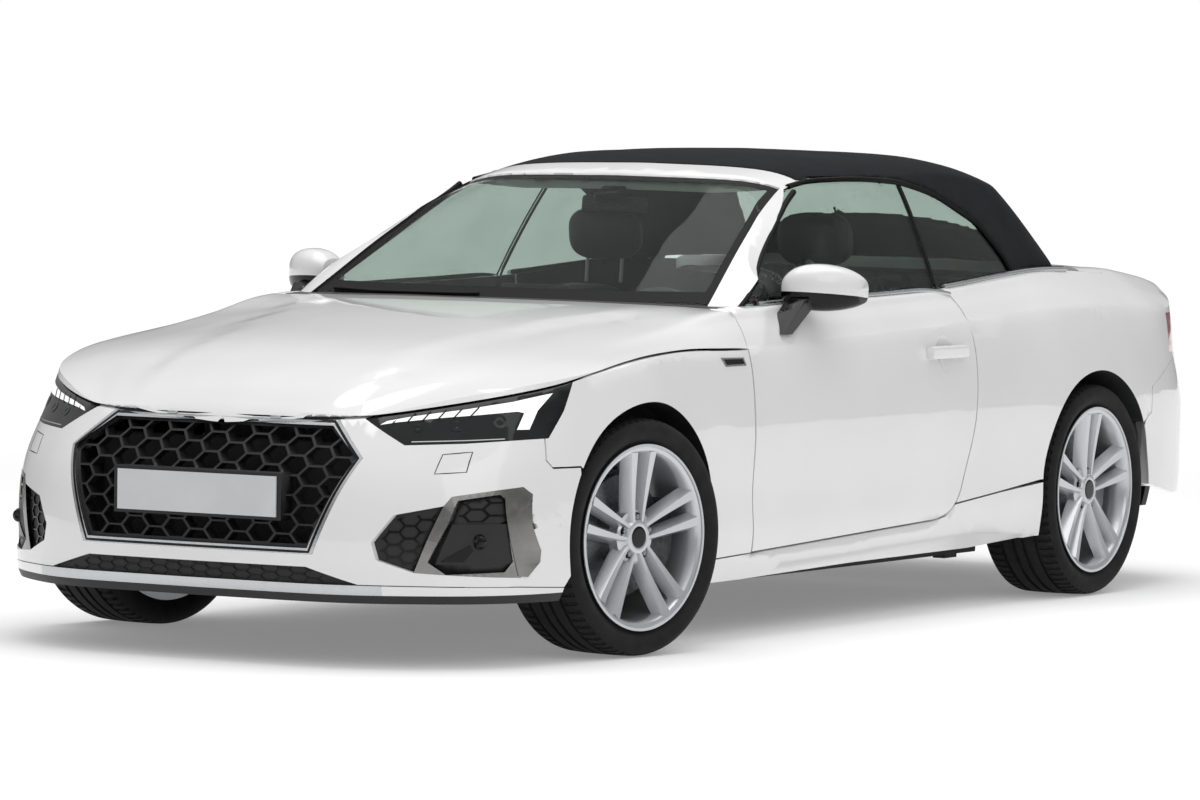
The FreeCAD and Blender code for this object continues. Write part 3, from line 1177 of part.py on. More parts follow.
def mirror_section(x, middle_y, middle_z, half_y, half_z):
    """Rounded outline of the mirror housing at a distance from the car's middle."""
    points = []
    for number in range(12):
        angle = 2 * math.pi * number / 12
        across, up = math.cos(angle), math.sin(angle)
        points.append(V(x, middle_y + half_y * math.copysign(abs(across) ** 0.75, across),
                        middle_z + half_z * math.copysign(abs(up) ** 0.75, up)))
    loop = Part.BSplineCurve()
    loop.interpolate(Points=points, PeriodicFlag=True)
    return Part.Wire([loop.toShape()])


MIRROR = [(792, -462, 992, 60, 44), (830, -458, 998, 76, 62), (890, -440, 998, 76, 68), (945, -412, 994, 62, 58),
          (982, -376, 988, 32, 34)]
housing = Part.makeLoft([mirror_section(*section) for section in MIRROR], True)
FOOT = ([(800, -640, 866), (866, -640, 866), (866, -585, 866), (800, -585, 866)],
        [(820, -540, 965), (885, -540, 965), (885, -460, 965), (820, -460, 965)])
foot_ends = [Part.Wire(Part.makePolygon([V(*corner) for corner in end + end[:1]])) for end in FOOT]
foot = Part.makeLoft(foot_ends, True)
mirror = largest(housing.fuse(foot).cut(door))
feature("mirror_left", mirror)
feature("mirror_right", mirrored(mirror))

# Check and write

document.recompute()
for item in document.Objects:
    for state in ("Invalid", "Error"):
        if state in item.State:
            raise RuntimeError("%s is in state %s" % (item.Label, state))

os.makedirs("parts", exist_ok=True)
for item in sub_parts:
    shape = item.Shape
    if shape.isNull() or not shape.isValid() or not shape.Solids:
        raise RuntimeError("%s has no sound shape" % item.Label)
    shape.exportStep("parts/%s.step" % item.Label)
    bounds = shape.optimalBoundingBox(False)
    print("%-20s %2d solids %9.4f m3  x %6.0f..%6.0f y %6.0f..%6.0f z %5.0f..%5.0f" % (
        item.Label, len(shape.Solids), shape.Volume / 1e9, bounds.XMin, bounds.XMax, bounds.YMin, bounds.YMax,
        bounds.ZMin, bounds.ZMax))
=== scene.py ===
import json
import math
import bmesh
import bpy
from mathutils import Matrix, Vector
from mathutils.bvhtree import BVHTree


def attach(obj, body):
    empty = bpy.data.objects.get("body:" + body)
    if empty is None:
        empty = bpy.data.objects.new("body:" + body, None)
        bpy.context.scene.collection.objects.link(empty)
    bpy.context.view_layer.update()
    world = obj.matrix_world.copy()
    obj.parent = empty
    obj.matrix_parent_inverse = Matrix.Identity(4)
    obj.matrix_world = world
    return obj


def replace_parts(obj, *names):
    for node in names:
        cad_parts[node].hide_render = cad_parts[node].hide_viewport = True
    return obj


# Looks of a two-door convertible car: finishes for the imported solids, and the pieces that dress them.
# Metres, the nose at -Y and the driver's side at +X. Sizes below are written in millimetres and times MM.

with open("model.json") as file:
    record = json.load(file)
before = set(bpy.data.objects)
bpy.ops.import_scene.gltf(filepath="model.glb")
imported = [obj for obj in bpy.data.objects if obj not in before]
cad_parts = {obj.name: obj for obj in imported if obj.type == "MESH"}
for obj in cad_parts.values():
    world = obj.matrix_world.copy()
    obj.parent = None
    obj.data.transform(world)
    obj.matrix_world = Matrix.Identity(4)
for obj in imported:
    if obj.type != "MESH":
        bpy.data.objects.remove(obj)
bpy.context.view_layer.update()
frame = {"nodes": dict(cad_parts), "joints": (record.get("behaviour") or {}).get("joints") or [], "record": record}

MM = 0.001
NODES = frame["nodes"]
BODIES = frame["record"]["behaviour"]["bodies"]
BODY_OF = {node: body for body, nodes in BODIES.items() for node in nodes}
SLOT_OF = {part["node"]: part["material_slot"] for part in frame["record"]["subparts"]}
JOINTS = {joint["name"]: joint for joint in frame["joints"]}
CORNERS = ("front_left", "front_right", "rear_left", "rear_right")
SIDES = {1: "left", -1: "right"}
FULL_TURN = 2 * math.pi
QUARTER_TURN = FULL_TURN / 4
# Rays start outside the car, and one from the left ends before it meets the far side.
OUTSIDE = 3.0
SIDE_REACH = 2.56
FROM_FRONT, FROM_LEFT, FROM_TOP = Vector((0, 1, 0)), Vector((-1, 0, 0)), Vector((0, 0, -1))
SOLID_WELD, WELD = 0.02 * MM, 0.01 * MM


# Materials

def linear(text):
    """Linear colour of an sRGB hex value."""
    values = [int(text[i:i + 2], 16) / 255 for i in (0, 2, 4)]
    return [v / 12.92 if v <= 0.04045 else ((v + 0.055) / 1.055) ** 2.4 for v in values] + [1.0]


def add(tree, kind, values=None, links=None):
    """Shader node with its settings and links."""
    made = tree.nodes.new("ShaderNode" + kind)
    for key, value in (values or {}).items():
        if isinstance(key, int) or key in made.inputs:
            made.inputs[key].default_value = value
        else:
            setattr(made, key, value)
    for key, source in (links or {}).items():
        tree.links.new(source, made.inputs[key])
    return made


def surface(name, colour, sockets):
    """Material with one principled shader; returns it with its tree, shader and object coordinates."""
    made = bpy.data.materials.new(name)
    made.use_nodes = True
    tree = made.node_tree
    tree.nodes.clear()
    shader = add(tree, "BsdfPrincipled", {"Base Color": linear(colour), **sockets})
    add(tree, "OutputMaterial", {}, {"Surface": shader.outputs["BSDF"]})
    return made, tree, shader, add(tree, "TexCoord").outputs["Object"]


def relief(tree, shader, height, depth_mm, strength):
    """Bump from a height, in millimetres of real depth."""
    bump = add(tree, "Bump", {"Strength": strength, "Distance": depth_mm * MM}, {"Height": height})
    tree.links.new(bump.outputs["Normal"], shader.inputs["Normal"])


def speckle(tree, place, grain_mm, detail=2.0):
    """Noise whose patches are about a real size across."""
    noise = add(tree, "TexNoise", {"Scale": 1 / (grain_mm * MM), "Detail": detail}, {"Vector": place})
    return noise.outputs["Fac"]


def waves(tree, place, scale, direction):
    """Even bands that follow one another along a direction."""
    bands = add(tree, "TexWave", {"Scale": scale, "bands_direction": direction}, {"Vector": place})
    return bands.outputs["Fac"]


def between(tree, factor, low, high, first, second):
    """Value that goes from first to second as a factor goes from low to high."""
    return add(tree, "MapRange", {"From Min": low, "From Max": high, "To Min": first, "To Max": second},
               {"Value": factor}).outputs["Result"]


def shaded(tree, shader, factor, first, second):
    """Base colour that varies between two close shades."""
    ramp = add(tree, "ValToRGB", {}, {"Fac": factor})
    for stop, position, colour in zip(ramp.color_ramp.elements, (0.35, 0.65), (first, second)):
        stop.position = position
        stop.color = linear(colour)
    tree.links.new(ramp.outputs["Color"], shader.inputs["Base Color"])


def roughened(tree, shader, factor, first, second):
    """Roughness that varies between two values."""
    tree.links.new(between(tree, factor, 0.3, 0.7, first, second), shader.inputs["Roughness"])


def procedural(name, colour, sockets, tint=None, grain=None, uneven=None):
    """Material with a tint (patch, detail, two shades), a grain (patch, detail, depth, strength) and an
    uneven roughness (patch, two values), each where given; patches and depths in millimetres."""
    made, tree, shader, place = surface(name, colour, sockets)
    if tint:
        patch, detail, first, second = tint
        shaded(tree, shader, speckle(tree, place, patch, detail), first, second)
    if grain:
        patch, detail, depth, strength = grain
        relief(tree, shader, speckle(tree, place, patch, detail), depth, strength)
    if uneven:
        patch, first, second = uneven
        roughened(tree, shader, speckle(tree, place, patch), first, second)
    return made


def drawn_steel():
    """Drawn stainless steel tube and pressed arms: grey with faint lengthwise scratches."""
    made, tree, shader, place = surface("drawn_steel", "8D8E90", {"Metallic": 1.0, "Roughness": 0.35})
    stretched = add(tree, "Mapping", {"Scale": (1.0, 0.06, 1.0)}, {"Vector": place}).outputs["Vector"]
    roughened(tree, shader, speckle(tree, stretched, 1.5), 0.28, 0.45)
    return made


def red_lens():
    """Red polycarbonate lens with moulded ribs: deep red and glossy."""
    made, tree, shader, place = surface("red_ribbed_polycarbonate", "8E0B12", {
        "Roughness": 0.12, "Coat Weight": 1.0, "Coat Roughness": 0.03})
    ribs = waves(tree, place, 1 / (22 * MM) / FULL_TURN, "Z")
    shaded(tree, shader, ribs, "7C070D", "A80F18")
    relief(tree, shader, ribs, 0.6, 0.5)
    return made


def woven_top():
    """Woven acrylic top cloth: deep matt black, with a crossing weave and a soft sheen at grazing angles."""
    made, tree, shader, place = surface("woven_acrylic_cloth", "101113", {
        "Roughness": 0.92, "Specular IOR Level": 0.2, "Sheen Weight": 0.08, "Sheen Roughness": 0.5,
        "Sheen Tint": linear("5A5C60")})
    # The real thread is under a millimetre and can't show, so the weave is drawn at 5 mm.
    thread = 1 / (5 * MM) / FULL_TURN * 3
    warp, weft = waves(tree, place, thread, "X"), waves(tree, place, thread, "Y")
    weave = add(tree, "Math", {"operation": "MULTIPLY"}, {0: warp, 1: weft}).outputs["Value"]
    relief(tree, shader, weave, 0.35, 0.5)
    shaded(tree, shader, speckle(tree, place, 70, 5.0), "0E0F11", "14151A")
    return made


def grained_leather():
    """Embossed black seat leather: soft sheen with a pebbled grain."""
    made, tree, shader, place = surface("embossed_leather", "17181A", {
        "Roughness": 0.48, "Sheen Weight": 0.1})
    pebbles = add(tree, "TexVoronoi", {"Scale": 1 / (3.5 * MM), "feature": "DISTANCE_TO_EDGE"},
                  {"Vector": place})
    relief(tree, shader, between(tree, pebbles.outputs["Distance"], 0.0, 0.2, 0.0, 1.0), 0.25, 0.5)
    shaded(tree, shader, speckle(tree, place, 60, 3.0), "141517", "1D1E21")
    return made


# Baked white enamel under clear lacquer: bright, with sharp highlights and a faint orange peel
PAINT = procedural("white_enamel", "E3E3E3", {
    "Roughness": 0.32, "Coat Weight": 1.0, "Coat Roughness": 0.03, "IOR": 1.5},
    tint=(420, 2, "E1E1E1", "E5E5E5"), grain=(3.0, 2, 0.02, 0.35))
# Grained black ABS: dull, with the fine spark grain of a moulded bumper insert
BLACK = procedural("moulded_black_abs", "141416", {"Roughness": 0.5, "IOR": 1.5},
                   tint=(90, 2, "121214", "17171A"), grain=(1.6, 2, 0.15, 0.5))
# Polished black acrylic: deep black with a mirror coat, as on grilles
GLOSS_BLACK = procedural("polished_black_acrylic", "060607", {
    "Roughness": 0.2, "IOR": 1.3, "Coat Weight": 0.15, "Coat Roughness": 0.04}, uneven=(60, 0.16, 0.28))
# Underbody steel under stone-chip sealer: dark and dusty, with a coarse sprayed texture
SEALED = procedural("sealed_underbody_steel", "1B1B1C", {"Roughness": 0.8},
                    tint=(120, 4, "161617", "232322"), grain=(4.0, 4, 0.6, 0.6))
# Anodised aluminium with a soft, slightly uneven sheen, bright and smoked
TRIM, DARK_TRIM = [
    procedural(name, colour, {"Metallic": 1.0, "Roughness": 0.24}, uneven=(35, 0.2, 0.3))
    for name, colour in (("anodised_aluminium_trim", "BFC0C2"), ("smoked_aluminium_trim", "8A8988"))]
# Cast aluminium wheel under clear lacquer: bright silver flakes with a clear shine
ALLOY = procedural("lacquered_cast_alloy", "C4C6C9", {
    "Metallic": 0.75, "Roughness": 0.3, "Coat Weight": 0.6, "Coat Roughness": 0.06},
    tint=(1.2, 2, "BFC1C4", "CBCDD0"))
# Turned grey iron brake disc: dull metal with a trace of dust
DISC = procedural("turned_grey_iron", "77787A", {"Metallic": 0.9, "Roughness": 0.42},
                  tint=(9.0, 4, "6C6C6D", "808183"))
# Sand-cast iron: grey, rough and matt, as on knuckles and the engine
CASTING = procedural("sand_cast_iron", "4C4D4F", {"Metallic": 0.6, "Roughness": 0.6},
                     tint=(18, 4, "434446", "56575A"), grain=(2.4, 3, 0.3, 0.6))
STEEL = drawn_steel()
# Tinted tempered glass: grey-green and smooth, dark enough to dim the cabin
GLASS = procedural("tinted_tempered_glass", "C2CEC8", {
    "Roughness": 0.0, "IOR": 1.12, "Transmission Weight": 1.0}, tint=(300, 2, "BFCBC5", "C5D1CB"))
# Clear hard-coated polycarbonate over a dark lamp bowl: near black, with sharp reflections
LENS = procedural("lamp_polycarbonate", "0A0B0D", {
    "Roughness": 0.06, "IOR": 1.35, "Coat Weight": 0.2, "Coat Roughness": 0.02},
    tint=(45, 2, "08090B", "101215"))
# Frosted acrylic light guide: white and faintly lit from within
GUIDE = procedural("frosted_light_guide", "F2F4F6", {
    "Roughness": 0.35, "Emission Color": linear("FFFFFF"), "Emission Strength": 0.35},
    tint=(6.0, 2, "E9EBEE", "F8F9FA"))
# Vacuum-metallised lamp reflector: bright mirror with soft waves
CHROME = procedural("metallised_reflector", "D8DADC", {"Metallic": 1.0, "Roughness": 0.12},
                    grain=(8.0, 2, 0.1, 0.4))
RED = red_lens()
CLOTH = woven_top()
LEATHER = grained_leather()
# Slush-moulded dashboard skin: dark grey, matt and finely grained
SOFT_SKIN = procedural("slush_moulded_skin", "1A1B1D", {"Roughness": 0.7},
                       tint=(80, 2, "17181A", "1F2023"), grain=(2.0, 3, 0.2, 0.6))
# Vulcanised rubber: charcoal black and matt, with faint dust
RUBBER = procedural("vulcanised_rubber", "151516", {"Roughness": 0.78, "Specular IOR Level": 0.3},
                    tint=(40, 4, "121213", "1B1B1C"), grain=(1.5, 2, 0.15, 0.5))
# Extruded EPDM rubber: plain black and dull, round the glass
SEAL = procedural("extruded_rubber", "060607", {"Roughness": 0.6, "IOR": 1.25},
                  tint=(25, 2, "050506", "090909"))
# Blank number plate: pale grey painted aluminium sheet with a satin film
PLATE = procedural("painted_plate_sheet", "C6C8CA", {"Roughness": 0.4, "Coat Weight": 0.3},
                   tint=(150, 2, "C3C5C7", "C9CBCD"))
# Silvered mirror glass: a clean mirror under a dark tint
MIRROR = procedural("silvered_glass", "A9ADB0", {"Metallic": 1.0, "Roughness": 0.03},
                    uneven=(50, 0.02, 0.05))

FINISHES = {
    "paint": PAINT, "black_plastic": BLACK, "underbody": SEALED, "bright_trim": TRIM, "lamp_lens": LENS,
    "glass": GLASS, "soft_top_cloth": CLOTH, "tail_lens": RED, "soft_plastic": SOFT_SKIN,
    "seat_leather": LEATHER, "cast_metal": CASTING, "steel": STEEL, "alloy": ALLOY, "tyre": RUBBER,
    "plate": PLATE,
}
SLOT_BY_FINISH = {finish.name: slot for slot, finish in FINISHES.items()}
SLOT_BY_FINISH.update({
    GLOSS_BLACK.name: "black_plastic", SEAL.name: "black_plastic", DARK_TRIM.name: "bright_trim",
    GUIDE.name: "lamp_lens", CHROME.name: "lamp_lens",
})
for node, piece in NODES.items():
    piece.data.materials.clear()
    piece.data.materials.append(FINISHES[SLOT_OF[node]])


# Helpers for pieces

def whole(bm):
    """Every vertex, edge and face of a mesh."""
    return bm.verts[:] + bm.edges[:] + bm.faces[:]


def only(items, kind):
    """The items of one kind: vertices, edges or faces."""
    return [item for item in items if isinstance(item, kind)]


def edges_of(faces):
    """Every edge of some faces, once."""
    return list({edge for face in faces for edge in face.edges})


def on_axis(axis, distance):
    """Point on an axis, at a distance from the middle."""
    return [distance if i == axis else 0.0 for i in range(3)]


def cut(bm, place, across, clear_outer=False):
    """Divides a whole mesh along a plane, and clears its outer side where asked."""
    bmesh.ops.bisect_plane(bm, geom=whole(bm), plane_co=place, plane_no=across, clear_outer=clear_outer)


def face_outwards(bm):
    """Makes the faces of a mesh agree, and turns those of a closed one outwards."""
    bmesh.ops.recalc_face_normals(bm, faces=bm.faces[:])


def flip(bm, items):
    """Mirrors some of a mesh across the car's middle."""
    bmesh.ops.scale(bm, vec=(-1, 1, 1), verts=only(items, bmesh.types.BMVert))
    bmesh.ops.reverse_faces(bm, faces=only(items, bmesh.types.BMFace))


def add_mirror_image(bm):
    """Adds a mesh's mirror image across the car's middle."""
    flip(bm, bmesh.ops.duplicate(bm, geom=whole(bm))["geom"])


def bridge(bm, rows, closed=False):
    """Faces between equally long rows of vertices; closed joins the ends of each row."""
    for first, second in zip(rows, rows[1:]):
        for i in range(len(first) if closed else len(first) - 1):
            j = (i + 1) % len(first)
            bm.faces.new((first[i], first[j], second[j], second[i]))


def joined(*parts):
    """One bmesh from several."""
    together = bmesh.new()
    for part in parts:
        mesh = bpy.data.meshes.new("part")
        part.to_mesh(mesh)
        part.free()
        together.from_mesh(mesh)
        bpy.data.meshes.remove(mesh)
    return together


def evaluated(holder):
    """Bmesh of an object as its modifiers leave it; the object is removed."""
    bpy.context.scene.collection.objects.link(holder)
    bpy.context.view_layer.update()
    bm = bmesh.new()
    bm.from_mesh(holder.evaluated_get(bpy.context.evaluated_depsgraph_get()).to_mesh())
    bpy.data.objects.remove(holder)
    return bm


def finished(bm, name, finish, body="root", smooth_angle=30):
    """Object from a bmesh, shaded smooth up to an angle, riding on a body."""
    mesh = bpy.data.meshes.new(name)
    bm.to_mesh(mesh)
    bm.free()
    made = bpy.data.objects.new(name, mesh)
    bpy.context.scene.collection.objects.link(made)
    for item in finish if isinstance(finish, (list, tuple)) else [finish]:
        mesh.materials.append(item)
    mesh.shade_smooth()
    mesh.set_sharp_from_angle(angle=math.radians(smooth_angle))
    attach(made, body)
    return made


def merged(node):
    """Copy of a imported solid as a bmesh, with its loose triangles joined."""
    bm = bmesh.new()
    bm.from_mesh(NODES[node].data)
    bmesh.ops.remove_doubles(bm, verts=bm.verts, dist=SOLID_WELD)
    return bm


def skin(node, shape=None, finishes=None, suffix="_skin"):
    """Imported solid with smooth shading, reshaped or divided by a function of its mesh."""
    bm = merged(node)
    if shape:
        shape(bm)
    made = finished(bm, node + suffix, finishes or FINISHES[SLOT_OF[node]], BODY_OF[node], 28)
    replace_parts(made, node)


def tree_of(*nodes):
    """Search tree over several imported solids, to lay trim on them."""
    bm = bmesh.new()
    for node in nodes:
        bm.from_mesh(NODES[node].data)
    found = BVHTree.FromBMesh(bm)
    bm.free()
    return found


# Where a ray starts for a place in a view, its direction, and how far it may go
VIEWS = {
    "front": (lambda a, b: Vector((a, -OUTSIDE, b)), FROM_FRONT, 1.5),
    "left": (lambda a, b: Vector((OUTSIDE, a, b)), FROM_LEFT, SIDE_REACH),
    "top": (lambda a, b: Vector((a, b, OUTSIDE)), FROM_TOP, 2.5),
}
NEARBY_MM = ((0, 0), (0, -7), (0, 7), (-7, 0), (7, 0), (0, -14), (0, 14), (-14, 0), (14, 0))
GRAZING = 0.15
LARGEST_STEP = 14 * MM
STRIP_STEP = 20


def laid(bm, view, target, lift_mm):
    """Moves every vertex of a flat piece along the view onto the surface behind it, across narrow gaps."""
    start_at, direction, reach = VIEWS[view]
    lost = []
    for vert in bm.verts:
        start = start_at(vert.co.x, vert.co.y)
        for a, b in NEARBY_MM:
            beside = start_at(vert.co.x + a * MM, vert.co.y + b * MM)
            place, normal, _, _ = target.ray_cast(beside, direction, reach)
            if place is not None and abs(normal.dot(direction)) > GRAZING:
                depth = (place - start).dot(normal) / direction.dot(normal)
                if abs(depth - (place - beside).dot(direction)) > LARGEST_STEP:
                    continue
                facing = normal if normal.dot(direction) < 0 else -normal
                vert.co = start + direction * depth + facing * lift_mm * MM
                break
        else:
            lost.append(vert)
    bmesh.ops.delete(bm, geom=lost, context="VERTS")


def thicken(bm, direction, thick, mirror):
    """Turns a sheet's faces against a direction, gives it thickness, and mirrors it where there are two."""
    face_outwards(bm)
    if sum(face.normal.dot(direction) for face in bm.faces) > 0:
        bmesh.ops.reverse_faces(bm, faces=bm.faces[:])
    bmesh.ops.solidify(bm, geom=bm.faces[:], thickness=thick * MM)
    if mirror == "only":
        flip(bm, whole(bm))
    elif mirror:
        add_mirror_image(bm)


def on_surface(bm, name, view, target, finish, lift, thick, mirror, body="root"):
    """Piece from a flat mesh laid on a surface."""
    laid(bm, view, target, lift)
    if not bm.faces:
        raise RuntimeError("%s lies beside its surface" % name)
    thicken(bm, VIEWS[view][1], thick, mirror)
    finished(bm, name, finish, body, smooth_angle=40)


def plate_on(name, corners, view, target, finish, lift, thick, grid=18):
    """Thin piece on either side, cut to an outline in a view and laid on the surface; millimetres."""
    bm = bmesh.new()
    bm.faces.new([bm.verts.new((a * MM, b * MM, 0)) for a, b in corners])
    for i in (0, 1):
        low, high = min(corner[i] for corner in corners), max(corner[i] for corner in corners)
        count = max(1, int((high - low) / grid))
        for number in range(1, count):
            cut(bm, on_axis(i, (low + (high - low) * number / count) * MM), on_axis(i, 1.0))
    bmesh.ops.triangulate(bm, faces=bm.faces[:])
    on_surface(bm, name, view, target, finish, lift, thick, mirror=True)


def strip_on(name, path, width, view, target, finish, lift, thick, body="root", mirror=False, closed=False):
    """Band of even width along a path in a view, laid on the surface behind it; millimetres."""
    points = [Vector(point) for point in path]
    if closed:
        points.append(points[0])
    dense = []
    for first, second in zip(points, points[1:]):
        count = max(1, int((second - first).length / STRIP_STEP))
        dense += [first.lerp(second, number / count) for number in range(count)]
    if not closed:
        dense.append(points[-1])
    bm = bmesh.new()
    rows = []
    last = len(dense) - 1
    for number, point in enumerate(dense):
        before = dense[number - 1] if number or closed else point
        after = dense[(number + 1) % len(dense)] if number < last or closed else point
        along = (after - before).normalized()
        across = Vector((-along.y, along.x)) * width / 2
        rows.append([bm.verts.new(((point + across * side) * MM).to_3d()) for side in (-1, 0, 1)])
    bridge(bm, rows + rows[:1] if closed else rows)
    on_surface(bm, name, view, target, finish, lift, thick, mirror, body)


def tube(name, points, radius, finish, body="root"):
    """Round bar along a smooth line through points in millimetres."""
    curve = bpy.data.curves.new(name, "CURVE")
    curve.dimensions = "3D"
    curve.bevel_depth = radius * MM
    curve.bevel_resolution = 2
    curve.resolution_u = 6
    curve.use_fill_caps = True
    line = curve.splines.new("NURBS")
    line.points.add(len(points) - 1)
    for point, place in zip(line.points, points):
        point.co = (place[0] * MM, place[1] * MM, place[2] * MM, 1)
    line.use_endpoint_u = True
    line.order_u = 3
    bm = evaluated(bpy.data.objects.new(name, curve))
    bpy.data.curves.remove(curve)
    bmesh.ops.remove_doubles(bm, verts=bm.verts, dist=WELD)
    face_outwards(bm)
    finished(bm, name, finish, body)


def turned(profile, steps, placing):
    """Full turn of a profile, (across, radius) in millimetres, about X, then placed by a matrix."""
    bm = bmesh.new()
    verts = [bm.verts.new((x * MM, 0, r * MM)) for x, r in profile]
    edges = [bm.edges.new(pair) for pair in zip(verts, verts[1:])]
    bmesh.ops.spin(bm, geom=verts + edges, cent=(0, 0, 0), axis=(1, 0, 0), angle=FULL_TURN, steps=steps,
                   use_merge=True)
    bmesh.ops.remove_doubles(bm, verts=bm.verts, dist=WELD)
    face_outwards(bm)
    bm.transform(placing)
    return bm


def box_piece(name, low, high, finish, bevel, turn=0.0, segments=3):
    """Rounded block between two corners in millimetres, turned about its middle along X."""
    middle = (Vector(low) + Vector(high)) / 2 * MM
    size = (Vector(high) - Vector(low)) * MM
    bm = bmesh.new()
    bmesh.ops.create_cube(bm, size=1.0, matrix=Matrix.Translation(middle) @ Matrix.Rotation(
        math.radians(turn), 4, "X") @ Matrix.Diagonal((*size, 1)))
    bmesh.ops.bevel(bm, geom=bm.edges[:], offset=bevel * MM, segments=segments, profile=0.5,
                    affect="EDGES", material=-1)
    finished(bm, name, finish)


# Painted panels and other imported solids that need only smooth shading

for node in ("top_box_cover", "boot_lid", "scuttle", "rear_valance", "number_plates", "engine", "underbody",
             "grille_surround", "radiator_grille", "headlamps", "tail_lamps", "boot_lamps", "windscreen",
             "door_window_left", "door_window_right", "quarter_windows", "rear_window", "dashboard",
             "exhaust", "knuckle_left", "knuckle_right", "front_suspension", "rear_suspension",
             "wheel_arch_liners", "steering_wheel"):
    skin(node)


# Front bumper, its corners and intakes; heights and depths in metres

CORNER_FACE = tree_of("front_bumper", "intake_trims")
CORNER_HEIGHT, CORNER_FALL, CORNER_SPAN, CORNER_BOW = 0.500, 0.031, 0.180, 2.6
CORNER_X, CORNER_Z, CORNER_REAR = (0.70, 0.87), (0.30, 0.462), -1.85
CORNER_REACH = 1.2
SMALLEST_DENT, LARGEST_DENT = 0.0015, 0.06
MOUTH_DEPTH = 0.016
FACE_PITCH, FACE_LOW, FACE_ROWS = 0.01, 0.25, 24
BLADE_TOP, BLADE_END = 0.199, 0.56
TIP_LEVEL, TIP_REAR, TIP_TOP = 0.6625, -2.12, 0.72


def corner_depth(x, z):
    """Place along Y of the bumper's face beside the side intakes, carried down from an even height."""
    place = CORNER_FACE.ray_cast(Vector((x, -OUTSIDE, CORNER_HEIGHT)), FROM_FRONT)[0]
    left = 1 - min(CORNER_HEIGHT - z, CORNER_SPAN) / CORNER_SPAN
    return place.y - CORNER_FALL * (1 - left ** CORNER_BOW)


def fair_corner(bm, node):
    """Evens out the shallow dent that runs across the bumper's corner and the side intake."""
    own = tree_of(node)
    inset = MOUTH_DEPTH if node == "air_intakes" else 0
    for vert in bm.verts:
        x, z = abs(vert.co.x), vert.co.z
        if not (CORNER_X[0] < x < CORNER_X[1] and CORNER_Z[0] < z < CORNER_Z[1] and vert.co.y < CORNER_REAR):
            continue
        found = own.ray_cast(Vector((x, -OUTSIDE, z)), FROM_FRONT, CORNER_REACH)[0]
        if found is None:
            continue
        shift = corner_depth(x, z) + inset - found.y
        if -LARGEST_DENT < shift < -SMALLEST_DENT:
            vert.co.y += shift


def even_face(first, last, inset):
    """Search tree over the bumper's even face between two places along X, set in by a depth."""
    columns = [first + number * FACE_PITCH for number in range(int(round((last - first) / FACE_PITCH)) + 1)]
    rows = [FACE_LOW + number * FACE_PITCH for number in range(FACE_ROWS)]
    verts = [Vector((x, corner_depth(x, z) + inset, z)) for x in columns for z in rows]
    faces = []
    for i in range(len(columns) - 1):
        for j in range(len(rows) - 1):
            start = i * len(rows) + j
            faces.append((start, start + len(rows), start + len(rows) + 1, start + 1))
    return BVHTree.FromPolygons(verts, faces)


def lip_finish(bm):
    """Splits the lip into its bright blade, the painted ends and the black underside."""
    for place, away in (((0, 0, BLADE_TOP), (0, 0, 1)), ((BLADE_END, 0, 0), (1, 0, 0)),
                        ((-BLADE_END, 0, 0), (1, 0, 0))):
        cut(bm, place, away)
    for face in bm.faces:
        middle = face.calc_center_median()
        face.material_index = 2 if middle.z < BLADE_TOP else 1 if abs(middle.x) > BLADE_END else 0


def level_tip(bm):
    """Cuts the bonnet's nose level above the grille's surround, and closes the cut."""
    faces = []
    for face in bm.faces:
        middle = face.calc_center_median()
        if middle.y < TIP_REAR and middle.z < TIP_TOP:
            faces.append(face)
    made = bmesh.ops.bisect_plane(bm, geom=faces + edges_of(faces), plane_co=(0, 0, TIP_LEVEL),
                                  plane_no=(0, 0, -1), clear_outer=True)
    bmesh.ops.holes_fill(bm, edges=only(made["geom_cut"], bmesh.types.BMEdge))


# Wheel openings

AXLES = [(JOINTS["spin_%s_left" % end]["pos_m"][1] + JOINTS["spin_%s_right" % end]["pos_m"][1]) / 2
         for end in ("front", "rear")]
HUB_HEIGHT = JOINTS["spin_rear_left"]["pos_m"][2]
ARCH = 0.374
ARCH_TOLERANCE, ARCH_FACING = 0.006, 0.6


def in_arch(middle, normal):
    """Whether a face lies on the inside edge of a wheel opening."""
    return abs(normal.x) < ARCH_FACING and any(
        abs(math.hypot(middle.y - axle, middle.z - HUB_HEIGHT) - ARCH) < ARCH_TOLERANCE for axle in AXLES)


def dark_arches(bm):
    """Gives the inside edge of the wheel openings the second material."""
    for face in bm.faces:
        if in_arch(face.calc_center_median(), face.normal):
            face.material_index = 1


def bumper_shape(bm):
    """Evens out the corners and darkens the edge in the wheel openings."""
    fair_corner(bm, "front_bumper")
    dark_arches(bm)


skin("bonnet", level_tip)
skin("front_bumper", bumper_shape, [PAINT, BLACK])
skin("intake_trims", lambda bm: fair_corner(bm, "intake_trims"), DARK_TRIM)
skin("air_intakes", lambda bm: fair_corner(bm, "air_intakes"), BLACK)
skin("front_lip", lip_finish, [TRIM, PAINT, BLACK])
for node in ("front_wings", "rear_bumper", "side_skirts"):
    skin(node, dark_arches, [PAINT, BLACK])

CLOSER_REAR, CLOSER_TOP, CLOSER_STEPS = 1.6925, 0.556, 12
SIDE_SAMPLES = (1.700, 1.760)
SEAM_LOW, SEAM_TOP, SEAM_END = 0.380, 0.560, 1.688


